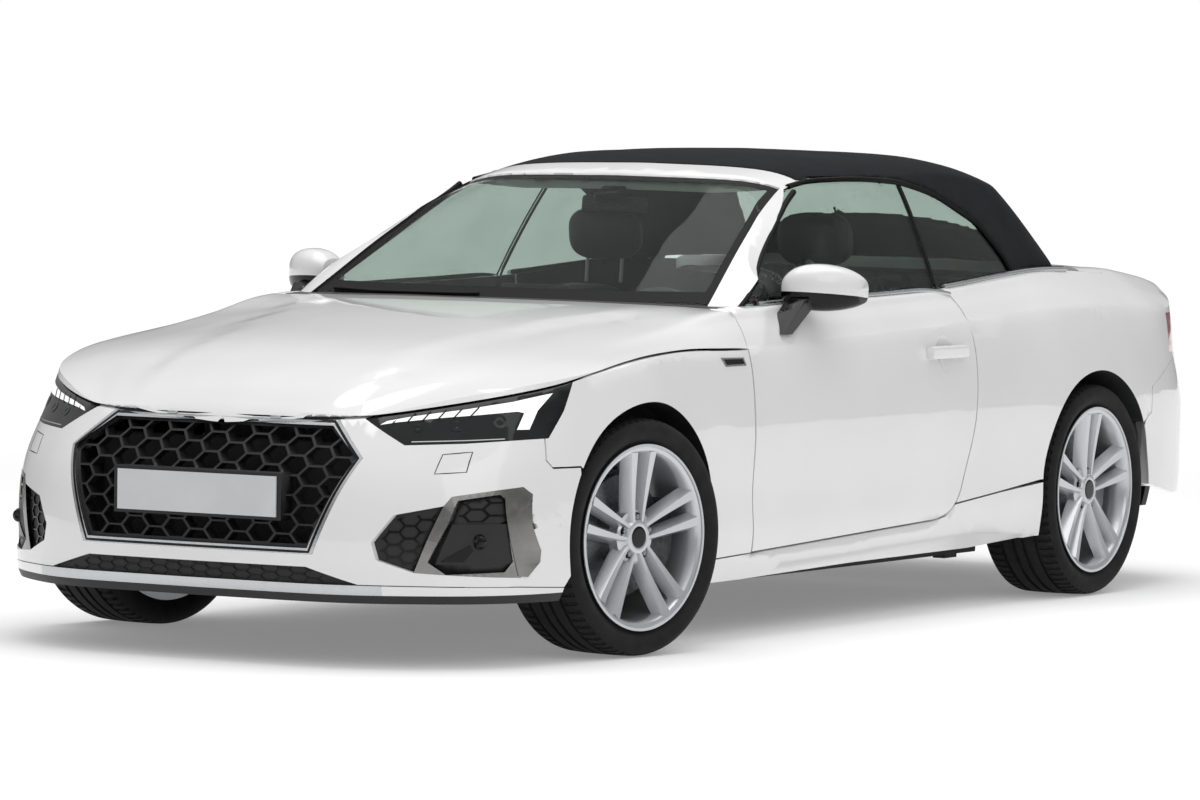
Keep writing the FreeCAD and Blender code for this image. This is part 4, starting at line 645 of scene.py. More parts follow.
def arch_corner():
    """Painted corner of the rear bumper that closes the wheel opening behind the tyre."""
    bumper_side = tree_of("rear_bumper")
    near, far = SIDE_SAMPLES
    rows = []
    bm = bmesh.new()
    for number in range(CLOSER_STEPS + 1):
        z = HUB_HEIGHT + (CLOSER_TOP - HUB_HEIGHT) * number / CLOSER_STEPS
        places = [bumper_side.ray_cast(Vector((OUTSIDE, y, z)), FROM_LEFT, SIDE_REACH)[0]
                  for y in SIDE_SAMPLES]
        slope = (places[0].x - places[1].x) / (far - near)
        arch = AXLES[1] + math.sqrt(ARCH ** 2 - (z - HUB_HEIGHT) ** 2)
        along_seam = AXLES[1] + (z + 0.002 - SEAM_LOW) / (SEAM_TOP - SEAM_LOW) * (SEAM_END - AXLES[1])
        start = min(max(arch, along_seam), CLOSER_REAR - 0.001)
        rows.append([bm.verts.new((places[0].x + slope * (near - y), y, z))
                     for y in (start, (start + CLOSER_REAR) / 2, CLOSER_REAR)])
    bridge(bm, rows)
    thicken(bm, FROM_LEFT, 2.5, mirror=True)
    finished(bm, "rear_arch_corners", PAINT)


arch_corner()


# Wheels

def wheel_place(corner):
    """Matrix from a wheel's own frame, +X outwards, to its place on the car."""
    joint = JOINTS["spin_" + corner]
    out = Vector(joint["axis"]) * (1 if corner.endswith("left") else -1)
    up = Vector((0, 0, 1))
    turn = Matrix((out, up.cross(out), up)).transposed().to_4x4()
    return Matrix.Translation(Vector(joint["pos_m"])) @ turn


TREAD_STEPS = 144
SHOULDER_FROM, SHOULDER_TO, SHOULDER_RADIUS = 66, 112, 322
BLOCK_GAP, BLOCK_DEPTH = 3.6, 4.0
HALF_TYRE = [
    (104, 238.5), (106, 262), (114, 270), (122, 280), (126.4, 291), (127.4, 300), (125.6, 309), (121, 317),
    (114, 323), (105, 326.6), (95, 328.4), (66, 329.6), (65, 322.5), (56, 322.5), (55, 329.9), (24, 330.3),
    (23, 323), (12, 323), (11, 330.4),
]


def make_tyre(corner):
    """Low-profile road tyre with four grooves, cut shoulder blocks and a rounded wall."""
    profile = HALF_TYRE + [(-x, r) for x, r in reversed(HALF_TYRE)]
    bm = turned(profile + [profile[0]], TREAD_STEPS, Matrix.Identity(4))
    blocks = []
    for face in bm.faces:
        middle = face.calc_center_median()
        radius = math.hypot(middle.y, middle.z)
        sector = int((math.atan2(middle.z, middle.y) + math.pi) / FULL_TURN * TREAD_STEPS)
        on_shoulder = SHOULDER_FROM * MM < abs(middle.x) < SHOULDER_TO * MM and radius > SHOULDER_RADIUS * MM
        if on_shoulder and sector % 2 == 0:
            blocks.append(face)
    bmesh.ops.inset_individual(bm, faces=blocks, thickness=BLOCK_GAP * MM, depth=-BLOCK_DEPTH * MM)
    bm.transform(wheel_place(corner))
    made = finished(bm, "road_tyre_" + corner, RUBBER, "wheel_" + corner, smooth_angle=32)
    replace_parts(made, "tyre_" + corner)


RIM_SECTION = [
    (118, 251), (118, 258.5), (114, 258.5), (107.7, 238), (-107.7, 238), (-109, 258.5), (-112, 258.5),
    (-112, 232), (-60, 228), (50, 229), (102, 233), (111, 240), (114, 250), (118, 251),
]
HUB_SECTION = [(40, 30), (97, 30), (98.5, 34), (96, 45), (88, 50), (86, 68), (80, 75), (40, 77), (40, 30)]
DISC_SECTION = [(0.5, 60), (0.5, 169), (12, 169), (12, 165), (19, 165), (19, 169), (30.5, 169), (30.5, 92),
                (58, 84), (60, 60), (0.5, 60)]
CAP_SECTION = [(93, 0), (97.5, 0), (99.5, 20), (98.5, 29), (93, 32)]
SPOKE_ANGLES = [FULL_TURN * number / 5 + QUARTER_TURN for number in range(5)]
SPOKE_STATIONS = 10
# Radius, offset from the pair's middle, half width, front face and depth: start, change and power
SPOKE_COURSE = ((40, 196, 1), (16, 23, 0.85), (6.5, 8.5, 1), (95, 18, 1.6), (40, -8, 1))
BOLT_CIRCLE, BOLT_FACE = 56, 86


def spoke(bm, angle, side):
    """One spoke of a pair: a narrow flat ridge with sloping flanks that bows out towards the rim."""
    out = Vector((0, math.cos(angle), math.sin(angle)))
    aside = Vector((0, -math.sin(angle), math.cos(angle))) * side
    rings = []
    for number in range(SPOKE_STATIONS):
        share = number / (SPOKE_STATIONS - 1)
        radius, middle, half, face, depth = [
            start + change * share ** power for start, change, power in SPOKE_COURSE]
        section = [(-half - 9, -depth), (-half - 1, -9), (-half + 3, 0), (half - 2, 0), (half + 3, -9),
                   (half + 12, -depth)]
        rings.append([bm.verts.new((out * radius + aside * (middle + across)
                                    + Vector((face + deep, 0, 0))) * MM) for across, deep in section])
    bridge(bm, rings, closed=True)
    bm.faces.new(rings[0])
    bm.faces.new(rings[-1])


def round_bar(bm, sides, radii, length, placing):
    """Adds a short bar to a mesh and returns its faces; millimetres."""
    verts = bmesh.ops.create_cone(bm, cap_ends=True, segments=sides, radius1=radii[0] * MM,
                                  radius2=radii[1] * MM, depth=length * MM, matrix=placing)["verts"]
    return {face for vert in verts for face in vert.link_faces}


def make_rim(corner):
    """Alloy wheel with five pairs of spokes, its brake disc in grey iron, bolts in black pockets of painted shade
    and a dark centre cap.
    """
    place = wheel_place(corner)
    body = "wheel_" + corner
    level = Matrix.Identity(4)
    disc = turned(DISC_SECTION, 64, level)
    for face in disc.faces:
        face.material_index = 1
    spokes = bmesh.new()
    for angle in SPOKE_ANGLES:
        spoke(spokes, angle, 1)
        spoke(spokes, angle, -1)
    face_outwards(spokes)
    bm = joined(turned(RIM_SECTION, 96, level), turned(HUB_SECTION, 48, level), spokes, disc)
    bm.transform(place)
    made = finished(bm, "alloy_rim_" + corner, [ALLOY, DISC], body, smooth_angle=34)
    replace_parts(made, "rim_" + corner)
    finished(turned(CAP_SECTION, 40, place), "hub_cap_" + corner, GLOSS_BLACK, body)
    bm = bmesh.new()
    for angle in SPOKE_ANGLES:
        spot = Matrix.Translation(
            Vector((BOLT_FACE, BOLT_CIRCLE * math.cos(angle), BOLT_CIRCLE * math.sin(angle))) * MM)
        spot = spot @ Matrix.Rotation(QUARTER_TURN, 4, "Y")
        # The gloss black pocket round each bolt is painted shade of its bolt hole.
        shaded_pocket = round_bar(bm, 20, (13, 13), 6, spot)
        ends = [face for face in shaded_pocket if len(face.verts) > 4]
        bmesh.ops.inset_individual(bm, faces=ends, thickness=2 * MM, depth=-2 * MM)
        for face in round_bar(bm, 6, (8.5, 8), 12, spot):
            face.material_index = 1
    bm.transform(place)
    finished(bm, "wheel_bolts_" + corner, [GLOSS_BLACK, STEEL], body)


for corner in CORNERS:
    make_tyre(corner)
    make_rim(corner)


# Soft top: one continuous cloth over its bows

BOWS = (300, 620, 900, 1180)
SLACK, SLACK_HALF_WIDTH = 3.5, 0.5
VOXEL = 8.5 * MM
TOP_CORE = 1.0


def make_soft_top():
    """Cloth drawn over the bows, with a little slack between them."""
    bm = merged("soft_top")
    mesh = bpy.data.meshes.new("soft_top_source")
    bm.to_mesh(mesh)
    bm.free()
    holder = bpy.data.objects.new("soft_top_source", mesh)
    remesh = holder.modifiers.new("even", "REMESH")
    remesh.mode = "VOXEL"
    remesh.voxel_size = VOXEL
    smooth = holder.modifiers.new("smooth", "SMOOTH")
    smooth.factor = 0.5
    smooth.iterations = 6
    bm = evaluated(holder)
    bm.normal_update()
    for vert in bm.verts:
        outwards = vert.normal
        if outwards.dot(Vector((vert.co.x * 0.6, 0, vert.co.z - TOP_CORE))) < 0:
            continue
        y = vert.co.y / MM
        slack = 0.0
        for first, second in zip(BOWS, BOWS[1:]):
            if first < y < second:
                slack = math.sin(math.pi * (y - first) / (second - first)) ** 2 * SLACK
        across = min(abs(vert.co.x) / SLACK_HALF_WIDTH, 1.0)
        vert.co -= outwards * slack * (1 - across ** 4) * MM
    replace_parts(finished(bm, "cloth_top", CLOTH, smooth_angle=50), "soft_top")


make_soft_top()


# Windows: ceramic borders, rubber seals and the bright strip along the waist

def smooth_line(points, count=8):
    """Points along a smooth line through a few given points."""
    places = [Vector(point) for point in points]
    line = []
    for i in range(len(places) - 1):
        before, first, second = places[max(i - 1, 0)], places[i], places[i + 1]
        after = places[min(i + 2, len(places) - 1)]
        for number in range(count):
            t = number / count
            line.append(((first * 2) + (second - before) * t
                         + (before * 2 - first * 5 + second * 4 - after) * t * t
                         + (first * 3 - before - second * 3 + after) * t ** 3) / 2)
    return [tuple(point) for point in line + places[-1:]]


def on_side(points, side, inward=0, rise=0):
    """Points of the left side moved inwards and up, on the side asked for."""
    return [((x - inward) * side, y, z + rise) for x, y, z in points]


SCREEN_SIDE = [(684, -776), (541, -92)]
SCREEN_HEAD = smooth_line([(-541, -92), (-300, -122), (0, -130), (300, -122), (541, -92)])
SCREEN_FOOT = smooth_line([(-664, -710), (-538, -740), (-300, -774), (0, -786), (300, -774), (538, -740),
                           (664, -710)])
screen = tree_of("windscreen")
for name, path, width, shift in (("head", SCREEN_HEAD, 40, -18), ("foot", SCREEN_FOOT, 56, 0)):
    strip_on("screen_border_" + name, [(x, y + shift) for x, y in path], width, "top", screen, SEAL, 0.4, 0.6)
strip_on("screen_border_side", [(x - 14, y) for x, y in SCREEN_SIDE], 30, "top", screen, SEAL, 0.4, 0.6,
         mirror=True)

PILLAR = [(-722, 936), (-560, 1024), (-300, 1163), (-90, 1272)]
ROOF_EDGE = [(-60, 1283), (6, 1292), (87, 1301), (240, 1305), (388, 1301), (540, 1290), (698, 1258),
             (820, 1211), (917, 1167), (975, 1111), (1016, 1061), (1042, 1004)]
SEAL_SINK, SEAL_RADIUS = 5, 9
cabin_side = tree_of("windscreen_frame", "soft_top", "door_window_left", "quarter_windows", "quarter_panels")


def median(values):
    """Middle one of some values in order of size."""
    return sorted(values)[len(values) // 2]


def side_line(path, target):
    """Places on the car's side along a path in the side view, with the depths evened out; millimetres."""
    depths, kept = [], []
    for y, z in path:
        found = []
        for aside in (-12, -6, 0, 6, 12):
            start = Vector((OUTSIDE, y * MM, (z + aside) * MM))
            place, normal, _, _ = target.ray_cast(start, FROM_LEFT, SIDE_REACH)
            if place is not None and normal.x > GRAZING:
                found.append((place.x + normal.z / normal.x * aside * MM) / MM)
        if found:
            depths.append(median(found))
            kept.append((y, z))
    middles = [median(depths[max(0, i - 3):i + 4]) for i in range(len(depths))]
    spans = [middles[max(0, i - 2):i + 3] for i in range(len(middles))]
    return [(sum(span) / len(span) - SEAL_SINK, y, z) for span, (y, z) in zip(spans, kept)]


pillar_line = side_line(smooth_line([(y + 6, z - 6) for y, z in PILLAR], 6), cabin_side)
roof_line = side_line(smooth_line([(y, z - 4) for y, z in ROOF_EDGE], 6), cabin_side)
for side, name in SIDES.items():
    tube("pillar_seal_" + name, on_side(pillar_line, side), SEAL_RADIUS, SEAL)
    tube("roof_seal_" + name, on_side(roof_line, side), SEAL_RADIUS, SEAL)
strip_on("window_post", [(461, 964), (514, 1283)], 17, "left", tree_of("quarter_windows"), SEAL, 1.0, 1.6,
         mirror=True)
for body, mirror in (("door_left", False), ("door_right", "only")):
    strip_on("glass_edge_" + body, [(442, 960), (495, 1280)], 9, "left", tree_of("door_window_left"), SEAL,
             0.6, 1.0, body, mirror)

WAIST_HEIGHTS, WAIST_ASIDE, WAIST_RISE = range(1130, 940, -10), range(4, 60, 4), 5
PANEL_BEHIND, TOP_TOLERANCE = 2 * MM, 1.5 * MM
STRIP_RADIUS = 7


def waist_points(glass, panel, start, end, count):
    """Points along the highest edge beside the foot of the glass, in millimetres."""
    points = []
    for number in range(count + 1):
        y = start + (end - start) * number / count
        for z in WAIST_HEIGHTS:
            outside = Vector((OUTSIDE, y * MM, z * MM))
            side = glass.ray_cast(outside, FROM_LEFT)[0]
            low = panel.ray_cast(outside, FROM_LEFT)[0]
            if low is not None and (side is None or low.x > side.x - PANEL_BEHIND):
                break
            if side is not None:
                found = side
        tops = [panel.ray_cast(Vector((found.x + aside * MM, y * MM, OUTSIDE)), FROM_TOP)[0]
                for aside in WAIST_ASIDE]
        tops = [top for top in tops if top is not None]
        if tops:
            highest = max(top.z for top in tops)
            edge = next(top for top in tops if top.z > highest - TOP_TOLERANCE)
            points.append((edge.x / MM, y, edge.z / MM + WAIST_RISE))
    return points


def evened(points):
    """Line of points with its small steps smoothed away."""
    for _ in range(6):
        points = points[:1] + [tuple((a + 2 * b + c) / 4 for a, b, c in zip(*three))
                               for three in zip(points, points[1:], points[2:])] + points[-1:]
    return points


door_strip = evened(waist_points(tree_of("door_window_left"), tree_of("door_left"), -640, 498, 24))
deck_strip = evened(waist_points(tree_of("quarter_windows", "soft_top"),
                                 tree_of("quarter_panels", "top_box_cover"), 512, 1400, 20))
for side, name in SIDES.items():
    body = "door_" + name
    tube("waist_strip_" + body, on_side(door_strip, side), STRIP_RADIUS, TRIM, body)
    tube("waist_seal_" + body, on_side(door_strip, side, 11, 2), STRIP_RADIUS, SEAL, body)
    tube("deck_strip_" + name, on_side(deck_strip, side), STRIP_RADIUS, TRIM)
    tube("deck_seal_" + name, on_side(deck_strip, side, 11, 2), STRIP_RADIUS, SEAL)


# Front end: grille, lamps, intakes and small seams

GRILLE = [(376, 305), (478, 565), (370, 662), (-370, 662), (-478, 565), (-376, 305)]


def inset(corners, amount):
    """Outline moved towards its middle."""
    middle = Vector((sum(a for a, _ in corners), sum(b for _, b in corners))) / len(corners)
    found = []
    for corner in corners:
        away = Vector(corner) - middle
        found.append(middle + away - away.normalized() * amount)
    return found


strip_on("grille_step", inset(GRILLE, 13), 7, "front", tree_of("grille_surround"), GLOSS_BLACK, 0.6, 1.0,
         closed=True)
BONNET_TIP = [(0, -2209), (100, -2209), (200, -2207), (300, -2200), (352, -2195), (378, -2188)]
tip_line = [(-x, y) for x, y in reversed(BONNET_TIP[1:])] + BONNET_TIP
tube("surround_top", [(x, y + 1, 654) for x, y in tip_line], 6, TRIM)
tube("bonnet_bar", [(x, y + 6, 662) for x, y in tip_line], 5, GLOSS_BLACK)
TAB_AT, TAB_HALF = 170, 16
for side in (-1, 1):
    box_piece("bar_tab_" + SIDES[side], (side * TAB_AT - TAB_HALF, -2213, 659),
              (side * TAB_AT + TAB_HALF, -2200, 666), TRIM, 2)
# The dark cooler core shows between the bars of the grille.
box_piece("cooler_core", (-430, -2165, 300), (430, -2135, 600), SEALED, 6, segments=2)


COLUMN_PITCH = 0.75
RIB_DEPTH = 4


def honeycomb(name, zone, cell, wall, target, lift, mirror=False):
    """Ribs of a honeycomb, laid on a surface inside a convex outline in the front view; millimetres."""
    wide, high = cell
    bm = bmesh.new()
    lows = [min(corner[i] for corner in zone) for i in (0, 1)]
    highs = [max(corner[i] for corner in zone) for i in (0, 1)]
    for column in range(int((highs[0] - lows[0]) / (wide * COLUMN_PITCH)) + 2):
        for row in range(int((highs[1] - lows[1]) / high) + 2):
            x = lows[0] + column * wide * COLUMN_PITCH
            z = lows[1] + row * high + (high / 2 if column % 2 else 0)
            ring = [(x + wide / 2, z), (x + wide / 4, z + high / 2), (x - wide / 4, z + high / 2),
                    (x - wide / 2, z), (x - wide / 4, z - high / 2), (x + wide / 4, z - high / 2)]
            bm.faces.new([bm.verts.new((a * MM, b * MM, 0)) for a, b in ring])
    bmesh.ops.remove_doubles(bm, verts=bm.verts, dist=0.1 * MM)
    cells = bm.faces[:]
    bmesh.ops.inset_individual(bm, faces=cells, thickness=wall / 2 * MM)
    bmesh.ops.delete(bm, geom=cells, context="FACES")
    middle = Vector((sum(a for a, _ in zone), sum(b for _, b in zone))) / len(zone)
    for (a, b), (c, d) in zip(zone, zone[1:] + zone[:1]):
        outwards = Vector((d - b, a - c, 0))
        if outwards.dot((Vector((a, b)) - middle).to_3d()) < 0:
            outwards.negate()
        cut(bm, (a * MM, b * MM, 0), outwards, clear_outer=True)
    bmesh.ops.triangulate(bm, faces=bm.faces[:])
    on_surface(bm, name, "front", target, GLOSS_BLACK, lift, RIB_DEPTH, mirror)


INNER_MOUTH = [(552, 300), (636, 268), (690, 425), (588, 408), (546, 344)]
OUTER_MOUTH = [(716, 398), (800, 398), (796, 462), (724, 452)]
LOWER_MOUTH = [(-440, 228), (440, 228), (350, 266), (-350, 266)]
TRIM_EDGE = [(800, 466), (818, 481), (829, 470), (853, 318), (852, 286), (838, 247), (826, 250)]
FUNNEL = [(672, 284), (706, 392), (802, 392), (814, 360), (816, 284)]
RAMP = [(684, 292), (742, 336), (748, 322), (730, 292)]
SENSOR_AT = (0.760, 0.345)
SENSOR_SECTION = [(0, 0), (16, 0), (18, 8), (14, 17), (4, 21), (0, 21)]
mouths = tree_of("air_intakes")
mouth = even_face(0.64, 0.84, MOUTH_DEPTH)
honeycomb("side_mouth_mesh", INNER_MOUTH, (46, 34), 5, mouths, 4, mirror=True)
honeycomb("upper_mouth_mesh", OUTER_MOUTH, (46, 34), 5, mouth, 3, mirror=True)
plate_on("intake_trim_edge", TRIM_EDGE, "front", even_face(0.78, 0.86, 0), DARK_TRIM, 1.5, 4)
honeycomb("lower_mouth_mesh", LOWER_MOUTH, (60, 22), 4, mouths, 3)
plate_on("sensor_funnel", FUNNEL, "front", mouth, BLACK, 4, 6)
plate_on("sensor_ramp", RAMP, "front", mouth, GLOSS_BLACK, 7, 3, grid=8)


def paired(bm, name, finish):
    """Piece made of a mesh and its mirror image."""
    add_mirror_image(bm)
    face_outwards(bm)
    finished(bm, name, finish)


# Round parking sensor in the middle of each side intake
place = mouth.ray_cast(Vector((SENSOR_AT[0], -OUTSIDE, SENSOR_AT[1])), FROM_FRONT)[0]
paired(turned(SENSOR_SECTION, 28, Matrix.Translation(place) @ Matrix.Rotation(-QUARTER_TURN, 4, "Z")),
       "parking_sensors", GLOSS_BLACK)

lamps = tree_of("headlamps")
GUIDE_SHAPE = [(487, 652), (529, 660), (629, 673), (704, 681), (774, 690), (786, 686), (784, 642), (804, 642),
               (806, 692), (820, 738), (761, 716), (675, 696), (556, 675), (500, 662)]
DIVIDER_FROM, DIVIDER_STEP = (522, 659), (34, 4.0)
PROJECTORS = ((580, 646, 14), (664, 652, 18), (748, 664, 20))
plate_on("light_guide", GUIDE_SHAPE, "front", lamps, GUIDE, 0.8, 1.2, grid=10)
for number in range(6):
    x, z = (start + number * step for start, step in zip(DIVIDER_FROM, DIVIDER_STEP))
    strip_on("guide_divider_%d" % number, [(x - 6, z - 4), (x + 6, z + 22)], 3.4, "front", lamps, LENS,
             2.4, 1.0, mirror=True)
strip_on("lamp_lower_line", [(578, 609), (700, 614), (770, 618)], 2.4, "front", lamps, CHROME, 0.5, 0.6,
         mirror=True)


def projectors():
    """Round projector lenses set behind the headlamp cover."""
    parts = []
    for x, z, radius in PROJECTORS:
        place, normal, _, _ = lamps.ray_cast(Vector((x * MM, -OUTSIDE, z * MM)), FROM_FRONT)
        turn = normal.to_track_quat("X", "Z").to_matrix().to_4x4()
        section = [(-6, 0.01), (-1, 0.01), (1.0, radius * 0.5), (0.6, radius * 0.75), (1.4, radius * 0.8),
                   (1.2, radius), (-6, radius)]
        parts.append(turned(section, 28, Matrix.Translation(place) @ turn))
    paired(joined(*parts), "lamp_projectors", LENS)


projectors()
strip_on("washer_flap", [(656, 526), (660, 577), (720, 584), (722, 531)], 2.2, "front",
         tree_of("front_bumper"), SEAL, 0.5, 0.5, closed=True, mirror=True)
wing = tree_of("front_wings")
plate_on("wing_badge", [(-1031, 812), (-896, 809), (-886, 786), (-1008, 786)], "left", wing, TRIM, 1.5, 2.0)
plate_on("wing_badge_field", [(-1014, 807), (-904, 805), (-896, 791), (-1000, 791)], "left", wing,
         GLOSS_BLACK, 2.2, 1.0)


# Door mirrors: white cap over a black housing

SPLIT_AT, SPLIT_ACROSS = Vector((0, -0.5, 0.984)), Vector((0.0, 0.1, 1.0))
GLASS_BEYOND, GLASS_ABOVE, GLASS_FACING = 0.80, 0.96, 0.75


def make_mirror(name):
    """Mirror with its lower half and foot in black and its glass at the rear."""
    node = "mirror_" + name
    bm = merged(node)
    cut(bm, SPLIT_AT, SPLIT_ACROSS)
    for face in bm.faces:
        middle = face.calc_center_median()
        if (middle - SPLIT_AT).dot(SPLIT_ACROSS) < 0:
            face.material_index = 1
        if face.normal.y > GLASS_FACING and abs(middle.x) > GLASS_BEYOND and middle.z > GLASS_ABOVE:
            face.material_index = 2
    made = finished(bm, "door_mirror_" + name, [PAINT, GLOSS_BLACK, MIRROR], "door_" + name, smooth_angle=35)
    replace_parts(made, node)


make_mirror("left")
make_mirror("right")


# Cabin: seats, bench, door cards and mirror

CHANNEL_DEPTH, CHANNEL_WIDTH = 5.0, 0.05
CUSHION_CUTS = 14


def cushion(name, centre, size, crown, tilt, channels=0, roundness=4.0):
    """Stuffed leather pad: a rounded form, crowned on top, with sewn channels; millimetres and degrees."""
    bm = bmesh.new()
    bmesh.ops.create_cube(bm, size=2.0)
    bmesh.ops.subdivide_edges(bm, edges=bm.edges[:], cuts=CUSHION_CUTS, use_grid_fill=True)
    for vert in bm.verts:
        u, v, w = vert.co
        pull = (abs(u) ** roundness + abs(v) ** roundness + abs(w) ** roundness) ** (1 / roundness)
        u, v, w = u / pull, v / pull, w / pull
        rise = crown * (1 - u * u) * (1 - v * v) if w > 0 else 0.0
        seam = 0.0
        for number in range(1, channels + 1):
            at = -1 + 2 * number / (channels + 1)
            seam += CHANNEL_DEPTH * math.exp(-((v - at) / CHANNEL_WIDTH) ** 2) * (1 - abs(u) ** 3)
        vert.co = Vector((u * size[0] / 2, v * size[1] / 2, w * size[2] / 2 + (rise - seam) * (w > 0))) * MM
    bm.transform(Matrix.Translation(Vector(centre) * MM) @ Matrix.Rotation(math.radians(tilt), 4, "X"))
    return finished(bm, name, LEATHER, smooth_angle=70)


SEAT_MIDDLE, BENCH_SIDE = 372, 250
CUSHION_EDGE, BACK_EDGE, POST_EDGE = 198, 188, 62
for side, place in SIDES.items():
    middle = SEAT_MIDDLE * side
    base = cushion("seat_cushion_" + place, (middle, 60, 385), (330, 480, 120), 22, 3, 3)
    cushion("seat_back_" + place, (middle, 352, 700), (320, 520, 110), 20, 100, 4)
    cushion("head_restraint_" + place, (middle, 432, 1112), (250, 165, 85), 8, 98, 0, 3.0)
    for edge in (-1, 1):
        which = "_%s_%s" % (place, SIDES[edge])
        cushion("cushion_bolster" + which, (middle + edge * CUSHION_EDGE, 50, 400), (80, 470, 130), 8, 3)
        cushion("back_bolster" + which, (middle + edge * BACK_EDGE, 342, 690), (80, 480, 120), 8, 100)
        post = middle + edge * POST_EDGE
        tube("restraint_post" + which, [(post, 424, 960), (post, 436, 1090)], 6, STEEL)
    if side > 0:
        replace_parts(base, "front_seats")

bench = cushion("bench_cushion", (0, 700, 395), (1010, 300, 150), 18, 3, 0, 6.0)
cushion("bench_back", (0, 918, 640), (1005, 420, 110), 14, 101, 0, 6.0)
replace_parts(bench, "rear_bench")
for side in (-1, 1):
    cushion("bench_panel_" + SIDES[side], (side * BENCH_SIDE, 690, 452), (420, 250, 60), 14, 3, 2)
    cushion("bench_back_panel_" + SIDES[side], (side * BENCH_SIDE, 888, 650), (420, 360, 60), 12, 101, 3)


CUP_AT, CUP_SIZE, CUP_DEPTH, CUP_CUTS = (325, 786), (58, 50), 13, 7
CUP_MARGIN, CUP_SPAN = 90, 60
SKIN_FROM, SKIN_TO = 0.8, 0.893
GRIP_MIDDLE, GRIP_HALF, GRIP_LEVEL, GRIP_HEIGHT = 318, 112, 790, 39
GRIP_OUT, GRIP_THICK = 896, 15
PACKED_GRIP = (0.8935, 0.315, 0.115, 0.790, 0.03)
GRIP_SQUEEZE = 0.3


def near_cup(face, side):
    """Whether an outer face has a corner near the cup, or any face reaches over its middle."""
    reaches = [[vert.co[i + 1] / MM - CUP_AT[i] for vert in face.verts] for i in (0, 1)]
    if face.normal.x * side > 0.5 and any(max(abs(y), abs(z)) < CUP_MARGIN for y, z in zip(*reaches)):
        return True
    return all(min(reach) < CUP_SPAN and max(reach) > -CUP_SPAN for reach in reaches)


def sink_cup(bm, side):
    """Presses the round finger cup behind a door's grip into its outer skin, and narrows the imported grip."""
    for axis, middle, half in zip((1, 2), CUP_AT, CUP_SIZE):
        for number in range(-CUP_CUTS, CUP_CUTS + 1):
            near = [face for face in bm.faces if near_cup(face, side)]
            place = on_axis(axis, (middle + half * number / CUP_CUTS) * MM)
            bmesh.ops.bisect_plane(bm, geom=near + edges_of(near), plane_co=place,
                                   plane_no=on_axis(axis, 1.0))
    skin_from, grip_y, grip_half, grip_z, grip_rise = PACKED_GRIP
    for vert in bm.verts:
        away = math.hypot(*((vert.co[i + 1] / MM - CUP_AT[i]) / CUP_SIZE[i] for i in (0, 1)))
        if away < 1 and SKIN_FROM < vert.co.x * side < SKIN_TO and vert.normal.x * side > 0.5:
            vert.co.x -= side * CUP_DEPTH * (1 - away ** 3) * MM
        rise = vert.co.z - grip_z
        if vert.co.x * side > skin_from and abs(vert.co.y - grip_y) < grip_half and abs(rise) < grip_rise:
            vert.co.z -= rise * GRIP_SQUEEZE


def inside_dark(node, inward, shape=None):
    """Skin of a painted piece whose inner faces carry a dark trim panel."""
    def change(bm):
        if shape:
            shape(bm)
        for face in bm.faces:
            if inward(face.calc_center_median(), face.normal):
                face.material_index = 1

    skin(node, change, [PAINT, SOFT_SKIN], "_trimmed")


CARD_WITHIN, CARD_FACING = 0.745, 0.9


def inside_quarter(middle, normal):
    """Whether a face of the rear quarters lies in a wheel opening or faces the cabin."""
    return in_arch(middle, normal) or (
        normal.x * middle.x < 0 and abs(normal.x) > CARD_FACING and abs(middle.x) < CARD_WITHIN)


def inside_frame(middle, normal):
    """Whether a face of the windscreen frame looks towards the cabin's middle."""
    away = Vector((middle.x * 1.2, middle.y + 0.2 if middle.y < -0.15 else 0, middle.z - 0.95))
    return normal.dot(away) < -0.02


for side, name in SIDES.items():
    inside_dark("door_" + name,
                lambda middle, normal, s=side: normal.x * s < -CARD_FACING and abs(middle.x) < CARD_WITHIN,
                lambda bm, s=side: sink_cup(bm, s))
inside_dark("quarter_panels", inside_quarter)
inside_dark("windscreen_frame", inside_frame)


def door_grips():
    """Fixed bar of each door handle, rounded and painted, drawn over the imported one."""
    for side, name in SIDES.items():
        bm = bmesh.new()
        bmesh.ops.create_cube(bm, size=2.0)
        bmesh.ops.subdivide_edges(bm, edges=bm.edges[:], cuts=11, use_grid_fill=True)
        for vert in bm.verts:
            x, y, z = vert.co
            pull = (abs(x) ** 5 + abs(y) ** 10 + abs(z) ** 5) ** (1 / 5)
            x, z = x / max(pull, 1), z / max(pull, 1)
            vert.co = Vector((side * (GRIP_OUT + x * GRIP_THICK), GRIP_MIDDLE + y * GRIP_HALF,
                              GRIP_LEVEL + z * GRIP_HEIGHT / 2)) * MM
        face_outwards(bm)
        finished(bm, "door_grip_" + name, PAINT, "door_" + name, smooth_angle=60)


door_grips()

box_piece("inside_mirror", (-112, -150, 1188), (112, -128, 1240), GLOSS_BLACK, 9, -8)
box_piece("mirror_base", (-40, -196, 1232), (40, -130, 1262), GLOSS_BLACK, 8, 20)
box_piece("centre_screen", (-118, -600, 905), (118, -588, 985), GLOSS_BLACK, 4, -12)
box_piece("tunnel_console", (-120, -560, 335), (120, 380, 470), SOFT_SKIN, 18)
box_piece("gear_lever", (-18, -250, 470), (18, -205, 545), LEATHER, 12, 8)


# Wipers at the foot of the windscreen

WIPERS = {"left": [(520, -800), (260, -818), (-40, -800)], "right": [(-60, -806), (-330, -802), (-600, -752)]}
WIPER_RISE, FEWEST_POINTS = 6, 4
for name, reach in WIPERS.items():
    points = []
    for x, y in smooth_line(reach, 6):
        place = screen.ray_cast(Vector((x * MM, y * MM, OUTSIDE)), FROM_TOP)[0]
        if place is not None:
            points.append((x, y, place.z / MM + WIPER_RISE))
    if len(points) >= FEWEST_POINTS:
        tube("wiper_blade_" + name, points, 4, SEAL)


# Exhaust ends

